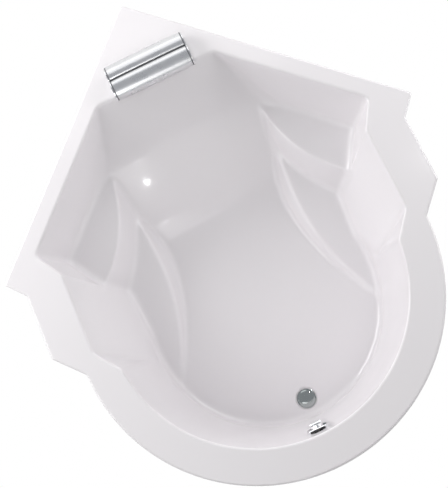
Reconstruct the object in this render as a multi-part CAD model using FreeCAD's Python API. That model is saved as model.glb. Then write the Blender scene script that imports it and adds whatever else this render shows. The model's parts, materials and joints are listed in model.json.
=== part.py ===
"""Corner bath with a round foot end, arm shelves, head roll, legs, pop-up waste and overflow.

Millimetres, +Z up. The bath is symmetric about the plane X = 0. Its wall corner
points along +Y and its round foot end along -Y. Z = 0 is the floor of the room.
Most places are given as (u, v, depth): u across the bath, v from the wall corner
towards the foot end, and depth below the top of the rim.
"""
import FreeCAD, Part
import math
import os

V = FreeCAD.Vector
os.makedirs("parts", exist_ok=True)

# ---------------------------------------------------------------- driving dimensions
ROOM_SIDE = 1400.0          # each wall length that the bath takes up
RIM_HEIGHT = 580.0          # room floor to the top of the rim
BATH_DEPTH = 415.0          # top of the rim to the bath's floor
FOOT_RADIUS = 603.0         # outer radius of the round foot end
WALL_EDGE = 1057.0          # straight rim edge along each wall
CORNER_ROUND = 10.0         # plan radius of the rim's outer corners

# the rim's outer outline, right half, after the wall edge
SIDE_HALF_WIDTH = 690.0
SIDE_START_V = 815.0
SIDE_END_V = 1045.0
SHOULDER_V = 1141.0

# the rim's inner outline
WALL_RIM_WIDTH = 62.0
HEAD_EDGE_V = 309.0
SHELF_CORNER_U = 613.0
BAY_HALF_WIDTH = 555.0
BAY_START_V = 798.0
BAY_END_V = 1088.0
FOOT_RIM_WIDTH = 113.0
FOOT_ARC_START_V = 1174.0

# shell sections
SHELL_WALL = 5.0            # acrylic with its laminate
LIP_DROP = 38.0             # height of the turned-down outer edge
LIP_ROUND = 8.0
RIM_ROUND = 7.0             # radius where the rim turns into the basin
SHELF_CORNER_ROUND = 22.0   # upright crease between the wall side and the shelf's end
BAY_CORNER_ROUND = 30.0     # upright ridge where the shelf's end meets the side
FACET_ROUND = 40.0          # upright crease between the side and the facet beside the foot
SHELF_FILLET = 20.0         # where the upper walls meet the arm shelves
FOOT_FILLET = 32.0          # where the foot's cone meets the floor
SKIN_CHAMFER = 0.5          # bevel behind the foot's rounding, as a share of it
SHELF_DEPTH = 210.0         # arm shelves below the rim
WALL_DRAFT = 11.5           # degrees from upright
BAY_DRAFT = 20.8
FOOT_DRAFT = 10.0
SHELF_WALL_DRAFT = 19.0
RIDGE_DRAFT = 25.0

# the back slope: a steep upper part and a flatter lower part
BACK_UPPER_ANGLE = 50.0     # degrees from level
BACK_BREAK_V = 465.0
BACK_LOWER_ANGLE = 40.0
BACK_FOOT_RADIUS = 250.0    # blend from the back slope into the floor
BACK_FOOT_DIP = 0.5         # how far that blend runs under the floor, so that the two cross

# the curved inner edge of the arm shelf, at shelf depth
ARRIS_CENTRE_U = 798.0
ARRIS_CENTRE_V = 458.0
ARRIS_RADIUS = 501.0

# side hollows with a ridge between them and the foot well
HOLLOW_START_V = 575.0
HOLLOW_START_DEPTH = 300.0
HOLLOW_FALL = 1.0 / 6.0     # depth gained per mm towards the foot
RIDGE_HALF = 265.0          # half width between the ridges, at RIDGE_REF_DEPTH
RIDGE_REF_DEPTH = 350.0
RIDGE_STRAIGHT_END_V = 760.0
RIDGE_FLARE_RADIUS = 806.0

# waste and overflow
DRAIN_FROM_FOOT_EDGE = 138.0  # drain centre to the basin's edge at the foot, in plan
WASTE_HOLE_RADIUS = 26.0
WASTE_SEAT_RADIUS = 38.0    # shallow recess that the flange sits in
WASTE_SEAT_DEPTH = 2.0
OVERFLOW_DEPTH = 75.0       # overflow centre below the rim
OVERFLOW_HOLE_RADIUS = 26.0

# overflow
ROSETTE_RADIUS = 36.0
ROSETTE_THICK = 12.0
ROSETTE_WALL = 2.5
ROSETTE_FLAT = 22.0         # height of the flat inlet edge above the centre
KNOB_RADIUS = 21.0
KNOB_HEIGHT = 10.0
KNOB_GAP = 0.3
KNOB_GRIP_HEIGHT = 8.0
KNOB_GRIP_WIDTH = 9.0
SPINDLE_RADIUS = 4.0
OVERFLOW_SEAL_THICK = 3.0
OVERFLOW_BODY_RADIUS = 34.0
OVERFLOW_BODY_WALL = 3.0
OVERFLOW_BODY_DEPTH = 32.0
SPINDLE_DRUM_RADIUS = 11.0

# supports: board, battens, rails, studs and feet
BOARD_THICK = 15.0
BOARD_HALF_WIDTH = 225.0
BOARD_FROM_SLOPE = 97.0     # board's head end from where the back slope would meet the floor
BOARD_FROM_DRAIN = 69.0     # board's foot end from the drain centre
BOARD_CORNER_CUT = 40.0
BATTEN_THICK = 18.0
BATTEN_WIDTH = 40.0
BATTEN_GAP = 3.0            # batten to the inside of the lip
BATTEN_LENGTH = 860.0
FOOT_BATTEN_HALF_ANGLE = 70.0
LONG_RAIL_U = 150.0
LONG_RAIL_WIDTH = 30.0
LONG_RAIL_HEIGHT = 25.0
LONG_RAIL_WALL = 2.0
LONG_RAIL_PAST_HEAD = 30.0  # rail past the centre of the head cross rail
LONG_RAIL_FROM_BOARD = 20.0 # rail's foot end from the board's
CROSS_RAIL_WIDTH = 40.0
CROSS_RAIL_HEIGHT = 25.0
CROSS_RAIL_WALL = 2.5
HEAD_RAIL_V = 500.0
HEAD_FEET_U = 240.0
MIDDLE_RAIL_V = 870.0
MIDDLE_FEET_U = 340.0
FOOT_RAIL_V = 1250.0
FOOT_FEET_U = 475.0
CROSS_RAIL_OVERHANG = 25.0  # rail past the stud's centre
STUD_RADIUS = 6.0
STUD_ABOVE_NUT = 35.0
STUD_SEAT_Z = 10.0          # bottom of the stud in its foot
STUD_HOLE_RADIUS = 6.5
NUT_ACROSS_FLATS = 19.0
NUT_HEIGHT = 10.0
THREAD_CLEARANCE = 0.05
PAD_RADIUS = 28.0
PAD_RIM_HEIGHT = 6.0
PAD_SOCKET_RADIUS = 11.0
PAD_SOCKET_TOP = 26.0
PAD_SHOULDER_Z = 16.0
BOLT_RADIUS = 4.0
BOLT_CLEARANCE = 0.1
BOLT_HEAD_RADIUS = 6.5
BOLT_HEAD_HEIGHT = 5.0
SCREW_RADIUS = 2.2
SCREW_HEAD_RADIUS = 4.5
SCREW_HEAD_HEIGHT = 3.0
SCREW_DEPTH = 10.0          # length of screw in the board
SCREW_COUNT = 3             # along each long rail
SCREW_FROM_BOARD_END = 85.0

# wall brackets
BRACKET_WIDTH = 60.0
BRACKET_THICK = 2.5
BRACKET_DROP = 52.0
BRACKET_HOOK = 18.0
BRACKET_CLEARANCE = 0.3
BRACKET_HOLE_RADIUS = 3.5
BRACKET_HOLE_SPACING = 36.0
BRACKET_HOLE_DROP = 30.0

# pop-up waste
FLANGE_RADIUS = 35.0
FLANGE_THICK = 2.5
SEAL_TOP_THICK = 1.0
SEAL_BOTTOM_THICK = 3.0
NECK_RADIUS = 25.0
NECK_BORE = 21.5
NECK_LENGTH = 19.0
HUB_RADIUS = 7.0
HUB_HEIGHT = 4.0
SPOKE_WIDTH = 3.0
STEM_RADIUS = 4.0
STEM_CLEARANCE = 0.1
PLUG_RADIUS = 30.0
PLUG_DOME_RISE = 5.0
PLUG_RIM_HEIGHT = 2.0
PLUG_LIFT_GAP = 0.4
PLUG_SKIRT_RADIUS = 17.0
PLUG_SKIRT_LENGTH = 8.0
STEM_LENGTH = 40.0
PLUG_SEAL_RADIUS = 21.2
PLUG_SEAL_HEIGHT = 3.0
WASTE_BODY_RADIUS = 30.0
WASTE_BODY_WALL = 3.0
WASTE_FLANGE_RADIUS = 37.0
WASTE_FLANGE_THICK = 4.0
WASTE_BODY_HEIGHT = 50.0
SPIGOT_RADIUS = 20.0
SPIGOT_WALL = 3.0
SPIGOT_LENGTH = 17.0
INLET_DROP = 30.0           # inlet axis below the waste body's top
PIPE_RADIUS = 18.0
PIPE_BORE = 15.5
INLET_LENGTH = 22.0
LEVER_ARM = 20.0
LEVER_TIP_RADIUS = 3.0
LEVER_PIN_RADIUS = 2.5
LEVER_WIDTH = 5.0
LEVER_GAP = 0.3

# trap
TRAP_NUT_RADIUS = 29.0
TRAP_NUT_HEIGHT = 16.0
TRAP_RADIUS = 38.0
TRAP_NECK_GAP = 4.0         # spigot's end to the trap's neck
TRAP_NECK_HEIGHT = 6.0
TRAP_HEIGHT = 60.0
TRAP_OUTLET_DROP = 28.0     # outlet axis below the trap's neck
TRAP_OUTLET_RADIUS = 20.0
TRAP_OUTLET_BORE = 18.2
TRAP_OUTLET_LENGTH = 60.0
CAP_RADIUS = 33.0

# overflow hose and elbow
HOSE_RADIUS = 19.0
HOSE_GROOVE = 2.5
HOSE_BORE = 14.5
HOSE_RIBS = 9
HOSE_CUFF = 22.0            # plain end of the hose
HOSE_BELOW_CUP = 4.0
HOSE_NUT_RADIUS = 25.0
HOSE_NUT_HEIGHT = 20.0
ELBOW_BEND = 34.0

# control cable
CABLE_RADIUS = 2.5
CABLE_U = 34.0
CABLE_BEND = 60.0

# head roll
ROLL_HALF_LENGTH = 143.0
ROLL_BACK_V = 200.0
ROLL_WIDTH = 130.0
ROLL_HEIGHT = 42.0
ROLL_CROWN = 2.5            # how much the roll is thinner at its ends
CUP_HEIGHT = 6.0
CUP_RADIUS = 17.0
CARRIER_THICK = 3.0
CARRIER_HALF_LENGTH = 120.0
END_CAP_THICK = 3.0
END_CAP_PROUD = 1.5
ROLL_LIP = 12.0             # how far the front lobe hangs below the roll's base
CUP_HALF_SPACING_U = 95.0
CUP_HALF_SPACING_V = 28.0
CUP_MIDDLE_V = 256.0

# ---------------------------------------------------------------- worked-out values
SQRT2 = math.sqrt(2.0)
FOOT_V = (ROOM_SIDE - FOOT_RADIUS) * SQRT2
FOOT_END_V = FOOT_V + FOOT_RADIUS
CORNER_Y = (FOOT_END_V + CORNER_ROUND * (SQRT2 - 1.0)) / 2.0
INNER_FOOT_RADIUS = FOOT_RADIUS - FOOT_RIM_WIDTH
TIP_U = WALL_EDGE / SQRT2
HOLE_TOP = 20.0             # how far cuts run above the rim
CUT_MARGIN = 100.0          # how far cutting solids run past the bath
DRAIN_V = FOOT_V + INNER_FOOT_RADIUS - DRAIN_FROM_FOOT_EDGE


def tan(degrees):
    """Tangent of an angle in degrees."""
    return math.tan(math.radians(degrees))


def at(u, v, depth=0.0):
    """A point of the bath from its place across, along and below the rim."""
    return V(u, CORNER_Y - v, RIM_HEIGHT - depth)


def back_depth(v):
    """Depth of the back slope at a distance from the wall corner."""
    upper = (min(v, BACK_BREAK_V) - HEAD_EDGE_V) * tan(BACK_UPPER_ANGLE)
    lower = max(v - BACK_BREAK_V, 0.0) * tan(BACK_LOWER_ANGLE)
    return upper + lower


def hollow_depth(v):
    """Depth of the side hollows' plane at a distance from the wall corner."""
    return HOLLOW_START_DEPTH + (v - HOLLOW_START_V) * HOLLOW_FALL


# ---------------------------------------------------------------- plan outlines
class Edge:
    """A straight plan edge through two points, on the right half, moved out by a distance."""

    def __init__(self, start, end, out=0.0):
        du, dv = end[0] - start[0], end[1] - start[1]
        length = math.hypot(du, dv)
        self.direction = (du / length, dv / length)
        normal = (dv / length, -du / length)
        self.point = (start[0] + normal[0] * out, start[1] + normal[1] * out)

    def meet(self, other):
        """Where two edges cross."""
        (u1, v1), (a1, b1) = self.point, self.direction
        (u2, v2), (a2, b2) = other.point, other.direction
        t = ((u2 - u1) * b2 - (v2 - v1) * a2) / (a1 * b2 - b1 * a2)
        return (u1 + a1 * t, v1 + b1 * t)

    def meet_circle(self, centre, radius, forward):
        """Where the edge crosses a circle, at its first or its last crossing."""
        u, v = self.point[0] - centre[0], self.point[1] - centre[1]
        a, b = self.direction
        half = u * a + v * b
        root = math.sqrt(half * half - (u * u + v * v - radius * radius))
        t = -half + (root if forward else -root)
        return (self.point[0] + a * t, self.point[1] + b * t)


def mirror(point):
    """The same plan point on the left half."""
    return (-point[0], point[1])


def between(centre, radius, start, end):
    """The middle point of the shorter arc between two points of a circle."""
    mid_u = (start[0] + end[0]) / 2.0 - centre[0]
    mid_v = (start[1] + end[1]) / 2.0 - centre[1]
    scale = radius / math.hypot(mid_u, mid_v)
    return (centre[0] + mid_u * scale, centre[1] + mid_v * scale)


def closed_wire(right_side, depth):
    """A wire through the right half's points and arcs and their mirror image.

    right_side holds points, and ("arc", middle, end) where the outline is round.
    It starts and ends on the symmetry plane or at the points nearest to it.
    """
    pieces = []
    for step in right_side[1:]:
        pieces.append(step if step[0] == "arc" else ("line", None, step))
    edges = []
    here = right_side[0]
    left = []
    for kind, middle, end in pieces:
        if kind == "arc":
            edges.append(Part.Arc(at(*here, depth), at(*middle, depth), at(*end, depth)).toShape())
        else:
            edges.append(Part.LineSegment(at(*here, depth), at(*end, depth)).toShape())
        left.append((kind, middle, here, end))
        here = end
    if abs(here[0]) > 1e-6:
        edges.append(Part.LineSegment(at(*here, depth), at(*mirror(here), depth)).toShape())
    for kind, middle, start, end in reversed(left):
        a, b = at(*mirror(end), depth), at(*mirror(start), depth)
        if kind == "arc":
            edges.append(Part.Arc(a, at(*mirror(middle), depth), b).toShape())
        else:
            edges.append(Part.LineSegment(a, b).toShape())
    first = right_side[0]
    if abs(first[0]) > 1e-6:
        edges.append(Part.LineSegment(at(*mirror(first), depth), at(*first, depth)).toShape())
    return Part.Wire(edges)


def outer_outline(out):
    """Right half of the rim's outer outline, moved out by a distance."""
    radius = FOOT_RADIUS + out
    centre = (0.0, FOOT_V)
    tip = (TIP_U, TIP_U)
    shoulder = (math.sqrt(FOOT_RADIUS ** 2 - (SHOULDER_V - FOOT_V) ** 2), SHOULDER_V)
    wall = Edge((0.0, 0.0), tip, out)
    tip_edge = Edge(tip, (SIDE_HALF_WIDTH, SIDE_START_V), out)
    side = Edge((SIDE_HALF_WIDTH, SIDE_START_V), (SIDE_HALF_WIDTH, SIDE_END_V), out)
    shoulder_edge = Edge((SIDE_HALF_WIDTH, SIDE_END_V), shoulder, out)
    corner = (0.0, wall.point[1] - wall.point[0])
    on_arc = shoulder_edge.meet_circle(centre, radius, False)
    foot = (0.0, FOOT_V + radius)
    return [corner, wall.meet(tip_edge), tip_edge.meet(side), side.meet(shoulder_edge), on_arc,
            ("arc", between(centre, radius, on_arc, foot), foot)]


def basin_edges(depth, out):
    """The basin's straight walls on the right side, at a depth, moved out by a distance."""
    wall_line = WALL_RIM_WIDTH * SQRT2
    shelf_corner = (SHELF_CORNER_U, SHELF_CORNER_U + wall_line)
    arc_start_u = math.sqrt(INNER_FOOT_RADIUS ** 2 - (FOOT_ARC_START_V - FOOT_V) ** 2)
    steep = out - depth * tan(WALL_DRAFT)
    bay = out - depth * tan(BAY_DRAFT)
    wall = Edge((0.0, wall_line), shelf_corner, steep)
    end = Edge(shelf_corner, (BAY_HALF_WIDTH, BAY_START_V), steep)
    side = Edge((BAY_HALF_WIDTH, BAY_START_V), (BAY_HALF_WIDTH, BAY_END_V), bay)
    facet = Edge((BAY_HALF_WIDTH, BAY_END_V), (arc_start_u, FOOT_ARC_START_V), steep)
    return wall, end, side, facet


def upper_outline(depth, out):
    """Straight-sided basin outline between the rim and the arm shelves."""
    wall, end, side, facet = basin_edges(depth, out)
    head = Edge((0.0, HEAD_EDGE_V - 60.0), (SHELF_CORNER_U, HEAD_EDGE_V - 60.0))
    last = Edge((0.0, FOOT_ARC_START_V + 40.0), (1.0, FOOT_ARC_START_V + 40.0))
    return [head.meet(wall), wall.meet(end), end.meet(side), side.meet(facet), facet.meet(last)]


def lower_outline(depth, out):
    """Straight-sided basin outline below the arm shelves."""
    _, _, side, facet = basin_edges(depth, out)
    head = Edge((0.0, BACK_BREAK_V - 30.0), (1.0, BACK_BREAK_V - 30.0))
    last = Edge((0.0, FOOT_ARC_START_V + 40.0), (1.0, FOOT_ARC_START_V + 40.0))
    return [head.meet(side), side.meet(facet), facet.meet(last)]


def loft(outline, top, bottom, out):
    """A solid between the same outline at two depths."""
    wires = [closed_wire(outline(d, out), d) for d in (top, bottom)]
    return Part.makeLoft(wires, True, True)


def cone(centre, radius, draft, reference, top, bottom):
    """An upright cone between two depths, with its radius given at a reference depth; draft narrows it downwards."""
    low = radius - (bottom - reference) * tan(draft)
    high = radius - (top - reference) * tan(draft)
    return Part.makeCone(low, high, bottom - top, at(centre[0], centre[1], bottom))


# ---------------------------------------------------------------- basin solids
def edges_at(solid, height):
    """The edges of a solid that lie wholly at one height."""
    return [e for e in solid.Edges
            if abs(e.BoundBox.ZMin - height) < 0.01 and abs(e.BoundBox.ZMax - height) < 0.01]


def steep_edges(solid, u, v):
    """The solid's steep edges on both sides, near a place in plan."""
    return [e for e in solid.Edges if e.BoundBox.ZLength > SHELF_DEPTH / 2.0
            and math.hypot(abs(e.CenterOfMass.x) - u, CORNER_Y - e.CenterOfMass.y - v) < SHELF_DEPTH / 3.0]


def rounded_upper_space(space):
    """The space between the rim and the arm shelves, with its creases rounded."""
    shelf_corner_v = SHELF_CORNER_U + WALL_RIM_WIDTH * SQRT2
    space = space.makeFillet(SHELF_CORNER_ROUND, steep_edges(space, SHELF_CORNER_U, shelf_corner_v))
    space = space.makeFillet(BAY_CORNER_ROUND, steep_edges(space, BAY_HALF_WIDTH, BAY_START_V))
    space = space.makeFillet(FACET_ROUND, steep_edges(space, BAY_HALF_WIDTH, BAY_END_V))
    low = [e for e in edges_at(space, RIM_HEIGHT - SHELF_DEPTH)
           if HEAD_EDGE_V < CORNER_Y - e.CenterOfMass.y < FOOT_ARC_START_V]
    return space.makeFillet(SHELF_FILLET, low)


def back_block(out):
    """Everything below the back slope and its blend into the floor, moved down by a distance."""
    floor = BATH_DEPTH + out
    low = floor + CUT_MARGIN
    lift_upper = out / math.cos(math.radians(BACK_UPPER_ANGLE))
    lift_lower = out / math.cos(math.radians(BACK_LOWER_ANGLE))
    start_v = HEAD_EDGE_V - CUT_MARGIN
    break_shift = (lift_upper - lift_lower) / (tan(BACK_UPPER_ANGLE) - tan(BACK_LOWER_ANGLE))
    break_v = BACK_BREAK_V - break_shift
    break_d = back_depth(BACK_BREAK_V) - break_shift * tan(BACK_LOWER_ANGLE) + lift_lower
    radius = BACK_FOOT_RADIUS + out
    turn = math.radians(BACK_LOWER_ANGLE)
    centre_d = floor + BACK_FOOT_DIP - radius
    tangent_d = centre_d + radius * math.cos(turn)
    tangent_v = break_v + (tangent_d - break_d) / tan(BACK_LOWER_ANGLE)
    centre_v = tangent_v + radius * math.sin(turn)
    bottom_turn = turn / 2.0
    middle = (centre_v - radius * math.sin(bottom_turn), centre_d + radius * math.cos(bottom_turn))
    half = SIDE_HALF_WIDTH

    def p(v, d):
        return at(-half, v, d)

    start_d = (start_v - HEAD_EDGE_V) * tan(BACK_UPPER_ANGLE) + lift_upper
    wire = Part.Wire([
        Part.LineSegment(p(start_v, start_d), p(break_v, break_d)).toShape(),
        Part.LineSegment(p(break_v, break_d), p(tangent_v, tangent_d)).toShape(),
        Part.Arc(p(tangent_v, tangent_d), p(*middle), p(centre_v, centre_d + radius)).toShape(),
        Part.LineSegment(p(centre_v, centre_d + radius), p(centre_v, low)).toShape(),
        Part.LineSegment(p(centre_v, low), p(start_v, low)).toShape(),
        Part.LineSegment(p(start_v, low), p(start_v, start_d)).toShape()])
    return Part.Face(wire).extrude(V(2 * half, 0, 0))


def ridge_side(depth, out, sign):
    """Plan outline beside the straight part of one ridge."""
    straight_u = RIDGE_HALF - (depth - RIDGE_REF_DEPTH) * tan(RIDGE_DRAFT) + out
    plan = [(straight_u, BACK_BREAK_V), (straight_u, RIDGE_STRAIGHT_END_V),
            (SIDE_HALF_WIDTH, RIDGE_STRAIGHT_END_V), (SIDE_HALF_WIDTH, BACK_BREAK_V)]
    points = [at(sign * u, v, depth) for u, v in plan]
    return Part.makePolygon(points + points[:1])


def hollow_block(out, sign):
    """The solid under one side hollow and its ridge."""
    top = SHELF_DEPTH
    bottom = BATH_DEPTH + 60.0
    straight = Part.makeLoft([ridge_side(top, out, sign), ridge_side(bottom, out, sign)], True, True)
    flare_centre = (sign * (RIDGE_HALF + RIDGE_FLARE_RADIUS), RIDGE_STRAIGHT_END_V)
    flare = cone(flare_centre, RIDGE_FLARE_RADIUS - out, -RIDGE_DRAFT, RIDGE_REF_DEPTH, top, bottom)
    lift = out * math.hypot(1.0, HOLLOW_FALL)
    far_v = FOOT_END_V
    profile = [(0.0, hollow_depth(0.0) + lift), (far_v, hollow_depth(far_v) + lift),
               (far_v, SHELF_DEPTH - CUT_MARGIN), (0.0, SHELF_DEPTH - CUT_MARGIN)]
    width = 2.0 * (RIDGE_HALF + 2.0 * RIDGE_FLARE_RADIUS)
    points = [at(-width, v, d) for v, d in profile]
    above = Part.Face(Part.makePolygon(points + points[:1])).extrude(V(2 * width, 0, 0))
    return straight.fuse(flare).cut(above)


def basin(out, top):
    """The space inside the basin, moved out by a distance on every wall; only the seen side has its creases rounded."""
    floor = BATH_DEPTH + out
    upper = loft(upper_outline, top, SHELF_DEPTH + out, out)
    if out == 0.0:
        upper = rounded_upper_space(upper)
    lower = loft(lower_outline, SHELF_DEPTH - 5.0, floor, out)
    for sign in (1, -1):
        arris = (sign * ARRIS_CENTRE_U, ARRIS_CENTRE_V)
        lower = lower.cut(cone(arris, ARRIS_RADIUS - out, -SHELF_WALL_DRAFT, SHELF_DEPTH, SHELF_DEPTH - 20.0, floor + 20.0))
    foot = cone((0.0, FOOT_V), INNER_FOOT_RADIUS + out, FOOT_DRAFT, 0.0, top, floor)
    foot_edge = edges_at(foot, RIM_HEIGHT - floor)
    foot = foot.makeFillet(FOOT_FILLET, foot_edge) if out == 0.0 else foot.makeChamfer(FOOT_FILLET * SKIN_CHAMFER, foot_edge)
    space = upper.fuse([lower, foot]).cut([hollow_block(out, 1), hollow_block(out, -1), back_block(out)])
    return space.removeSplitter()


# ---------------------------------------------------------------- small solid helpers
X, Y, Z = V(1, 0, 0), V(0, 1, 0), V(0, 0, 1)


def rod(radius, start, end):
    """A round bar between two points."""
    return Part.makeCylinder(radius, (end - start).Length, start, end - start)


def ring(outer, inner, start, end):
    """A round tube between two points."""
    return rod(outer, start, end).cut(rod(inner, start, end))


def block(low, high):
    """A box between two corners."""
    return Part.makeBox(high.x - low.x, high.y - low.y, high.z - low.z, low)


def turned(profile, place):
    """A solid turned about the Z axis through a point, from (radius, height) pairs."""
    points = [V(r, 0, z) for r, z in profile]
    face = Part.Face(Part.makePolygon(points + points[:1]))
    solid = face.revolve(V(0, 0, 0), Z, 360)
    solid.translate(place)
    return solid


def prism(points, rise):
    """A straight solid over a closed outline."""
    return Part.Face(Part.makePolygon(points + points[:1])).extrude(rise)


def hexagon(across_flats, height, place):
    """A six-sided nut blank standing on a point."""
    corner = across_flats / math.sqrt(3.0)
    turns = [math.radians(60 * i) for i in range(6)]
    return prism([place + V(corner * math.cos(t), corner * math.sin(t), 0) for t in turns], Z * height)


def fuse_all(solids):
    """Several solids as one."""
    first = solids[0]
    return first.fuse(solids[1:]).removeSplitter() if len(solids) > 1 else first


def upright_edges(solid):
    """The edges of a solid that run straight up."""
    return [e for e in solid.Edges if len(e.Vertexes) == 2 and e.Curve.TypeId == "Part::GeomLine"
            and abs(e.tangentAt(e.FirstParameter).z) > 0.999]


# ---------------------------------------------------------------- the shell
def overflow_axes():
    """The overflow's centre on the foot wall, its axis into the basin and its upward direction."""
    v = FOOT_V + INNER_FOOT_RADIUS - OVERFLOW_DEPTH * tan(FOOT_DRAFT)
    tilt = math.radians(FOOT_DRAFT)
    return at(0.0, v, OVERFLOW_DEPTH), V(0, math.cos(tilt), math.sin(tilt)), V(0, -math.sin(tilt), math.cos(tilt))


OVERFLOW_POINT, OVERFLOW_AXIS, OVERFLOW_UP = overflow_axes()
DRAIN = at(0.0, DRAIN_V, BATH_DEPTH)
UNDERSIDE_Z = RIM_HEIGHT - BATH_DEPTH - SHELL_WALL
SEAT_Z = DRAIN.z - WASTE_SEAT_DEPTH


def rim_prism(out, top, bottom, corner_round):
    """The rim's outline as an upright solid with rounded corners."""
    solid = Part.Face(closed_wire(outer_outline(out), top)).extrude(V(0, 0, top - bottom))
    return solid.makeFillet(corner_round, upright_edges(solid))


def shell():
    """The one-piece moulding: rim with its turned-down lip, shelves, back slope and basin."""
    space = basin(0.0, -HOLE_TOP)
    skin = basin(SHELL_WALL, SHELL_WALL / 2.0)
    seat_top = DRAIN + Z * 5.0
    space = space.fuse(rod(WASTE_SEAT_RADIUS, seat_top, DRAIN - Z * WASTE_SEAT_DEPTH))
    skin = skin.fuse(rod(WASTE_SEAT_RADIUS + SHELL_WALL, seat_top, DRAIN - Z * (WASTE_SEAT_DEPTH + SHELL_WALL)))
    space = space.fuse(rod(ROSETTE_RADIUS + 2.0, OVERFLOW_POINT, OVERFLOW_POINT + OVERFLOW_AXIS * 5.0))
    skin = skin.fuse(rod(ROSETTE_RADIUS + 2.0 + SHELL_WALL, OVERFLOW_POINT - OVERFLOW_AXIS * SHELL_WALL,
                         OVERFLOW_POINT))
    rim = rim_prism(0.0, 0.0, LIP_DROP, CORNER_ROUND)
    rim = rim.makeFillet(LIP_ROUND, edges_at(rim, RIM_HEIGHT))
    under = rim_prism(-SHELL_WALL, SHELL_WALL, LIP_DROP + 1.0, CORNER_ROUND - SHELL_WALL)
    solid = rim.cut(under).fuse(skin).cut(space)
    solid = solid.cut(rod(WASTE_HOLE_RADIUS, seat_top, DRAIN - Z * 20.0))
    solid = solid.cut(rod(OVERFLOW_HOLE_RADIUS, OVERFLOW_POINT + OVERFLOW_AXIS * 20.0,
                          OVERFLOW_POINT - OVERFLOW_AXIS * 20.0))
    return solid


# ---------------------------------------------------------------- supports


CROSS_RAILS = {"head": (HEAD_RAIL_V, HEAD_FEET_U), "middle": (MIDDLE_RAIL_V, MIDDLE_FEET_U),
               "foot": (FOOT_RAIL_V, FOOT_FEET_U)}
SLOPE_END_V = BACK_BREAK_V + (BATH_DEPTH - back_depth(BACK_BREAK_V)) / tan(BACK_LOWER_ANGLE)
BOARD_START_V = SLOPE_END_V + BOARD_FROM_SLOPE
BOARD_END_V = DRAIN_V - BOARD_FROM_DRAIN
LONG_RAIL_START_V = HEAD_RAIL_V - LONG_RAIL_PAST_HEAD
LONG_RAIL_END_V = BOARD_END_V - LONG_RAIL_FROM_BOARD
BOARD_TOP_Z = UNDERSIDE_Z
LONG_RAIL_TOP_Z = BOARD_TOP_Z - BOARD_THICK
CROSS_RAIL_TOP_Z = LONG_RAIL_TOP_Z - LONG_RAIL_HEIGHT
SIDES = {"left": -1.0, "right": 1.0}

STUD_TOP_Z = CROSS_RAIL_TOP_Z + NUT_HEIGHT + STUD_ABOVE_NUT


def base_board():
    """Stiffening board bonded under the floor, with cut corners and screw holes."""
    w, c = BOARD_HALF_WIDTH, BOARD_CORNER_CUT
    a, b = BOARD_START_V, BOARD_END_V
    plan = [(-w, a + c), (-w + c, a), (w - c, a), (w, a + c), (w, b - c), (w - c, b), (-w + c, b), (-w, b - c)]
    depth = RIM_HEIGHT - BOARD_TOP_Z
    board = prism([at(u, v, depth) for u, v in plan], Z * -BOARD_THICK)
    for place in screw_places():
        base = V(place.x, place.y, LONG_RAIL_TOP_Z)
        board = board.cut(rod(SCREW_RADIUS + BOLT_CLEARANCE, base, base + Z * (SCREW_DEPTH + 1.0)))
    return board


def screw_places():
    """Plan places of the screws that hold the long rails to the board."""
    first, last = BOARD_START_V + SCREW_FROM_BOARD_END, BOARD_END_V - SCREW_FROM_BOARD_END
    step = (last - first) / (SCREW_COUNT - 1)
    return [at(side * LONG_RAIL_U, first + i * step) for side in SIDES.values() for i in range(SCREW_COUNT)]


def rail_screws():
    """Wood screws with flanged heads, from under the long rails up into the board."""
    screws = []
    for place in screw_places():
        under = V(place.x, place.y, CROSS_RAIL_TOP_Z)
        head = rod(SCREW_HEAD_RADIUS, under - Z * SCREW_HEAD_HEIGHT, under)
        shank = rod(SCREW_RADIUS, under, V(place.x, place.y, LONG_RAIL_TOP_Z + SCREW_DEPTH))
        screws.append(head.fuse(shank))
    return Part.makeCompound(screws)


def wall_batten(side):
    """Timber strip under the rim along one wall."""
    along = V(side, -1, 0) * (1 / SQRT2)
    inward = V(-side, -1, 0) * (1 / SQRT2)
    corner = at(0, 0, SHELL_WALL)
    middle = corner + along * (WALL_EDGE / 2.0)
    start = middle - along * (BATTEN_LENGTH / 2.0) + inward * (SHELL_WALL + BATTEN_GAP)
    across = inward * BATTEN_WIDTH
    points = [start, start + along * BATTEN_LENGTH, start + along * BATTEN_LENGTH + across, start + across]
    return prism(points, Z * -BATTEN_THICK)


def foot_batten():
    """Curved plywood strip under the foot rim."""
    outer = FOOT_RADIUS - SHELL_WALL - BATTEN_GAP
    inner = INNER_FOOT_RADIUS + SHELL_WALL + 2 * BATTEN_GAP
    low = at(0, FOOT_V, SHELL_WALL + BATTEN_THICK)
    half = FOOT_BATTEN_HALF_ANGLE
    disc = Part.makeCylinder(outer, BATTEN_THICK, low, Z, 2 * half)
    disc.rotate(low, Z, -90.0 - half)
    return disc.cut(Part.makeCylinder(inner, BATTEN_THICK, low, Z))


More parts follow.
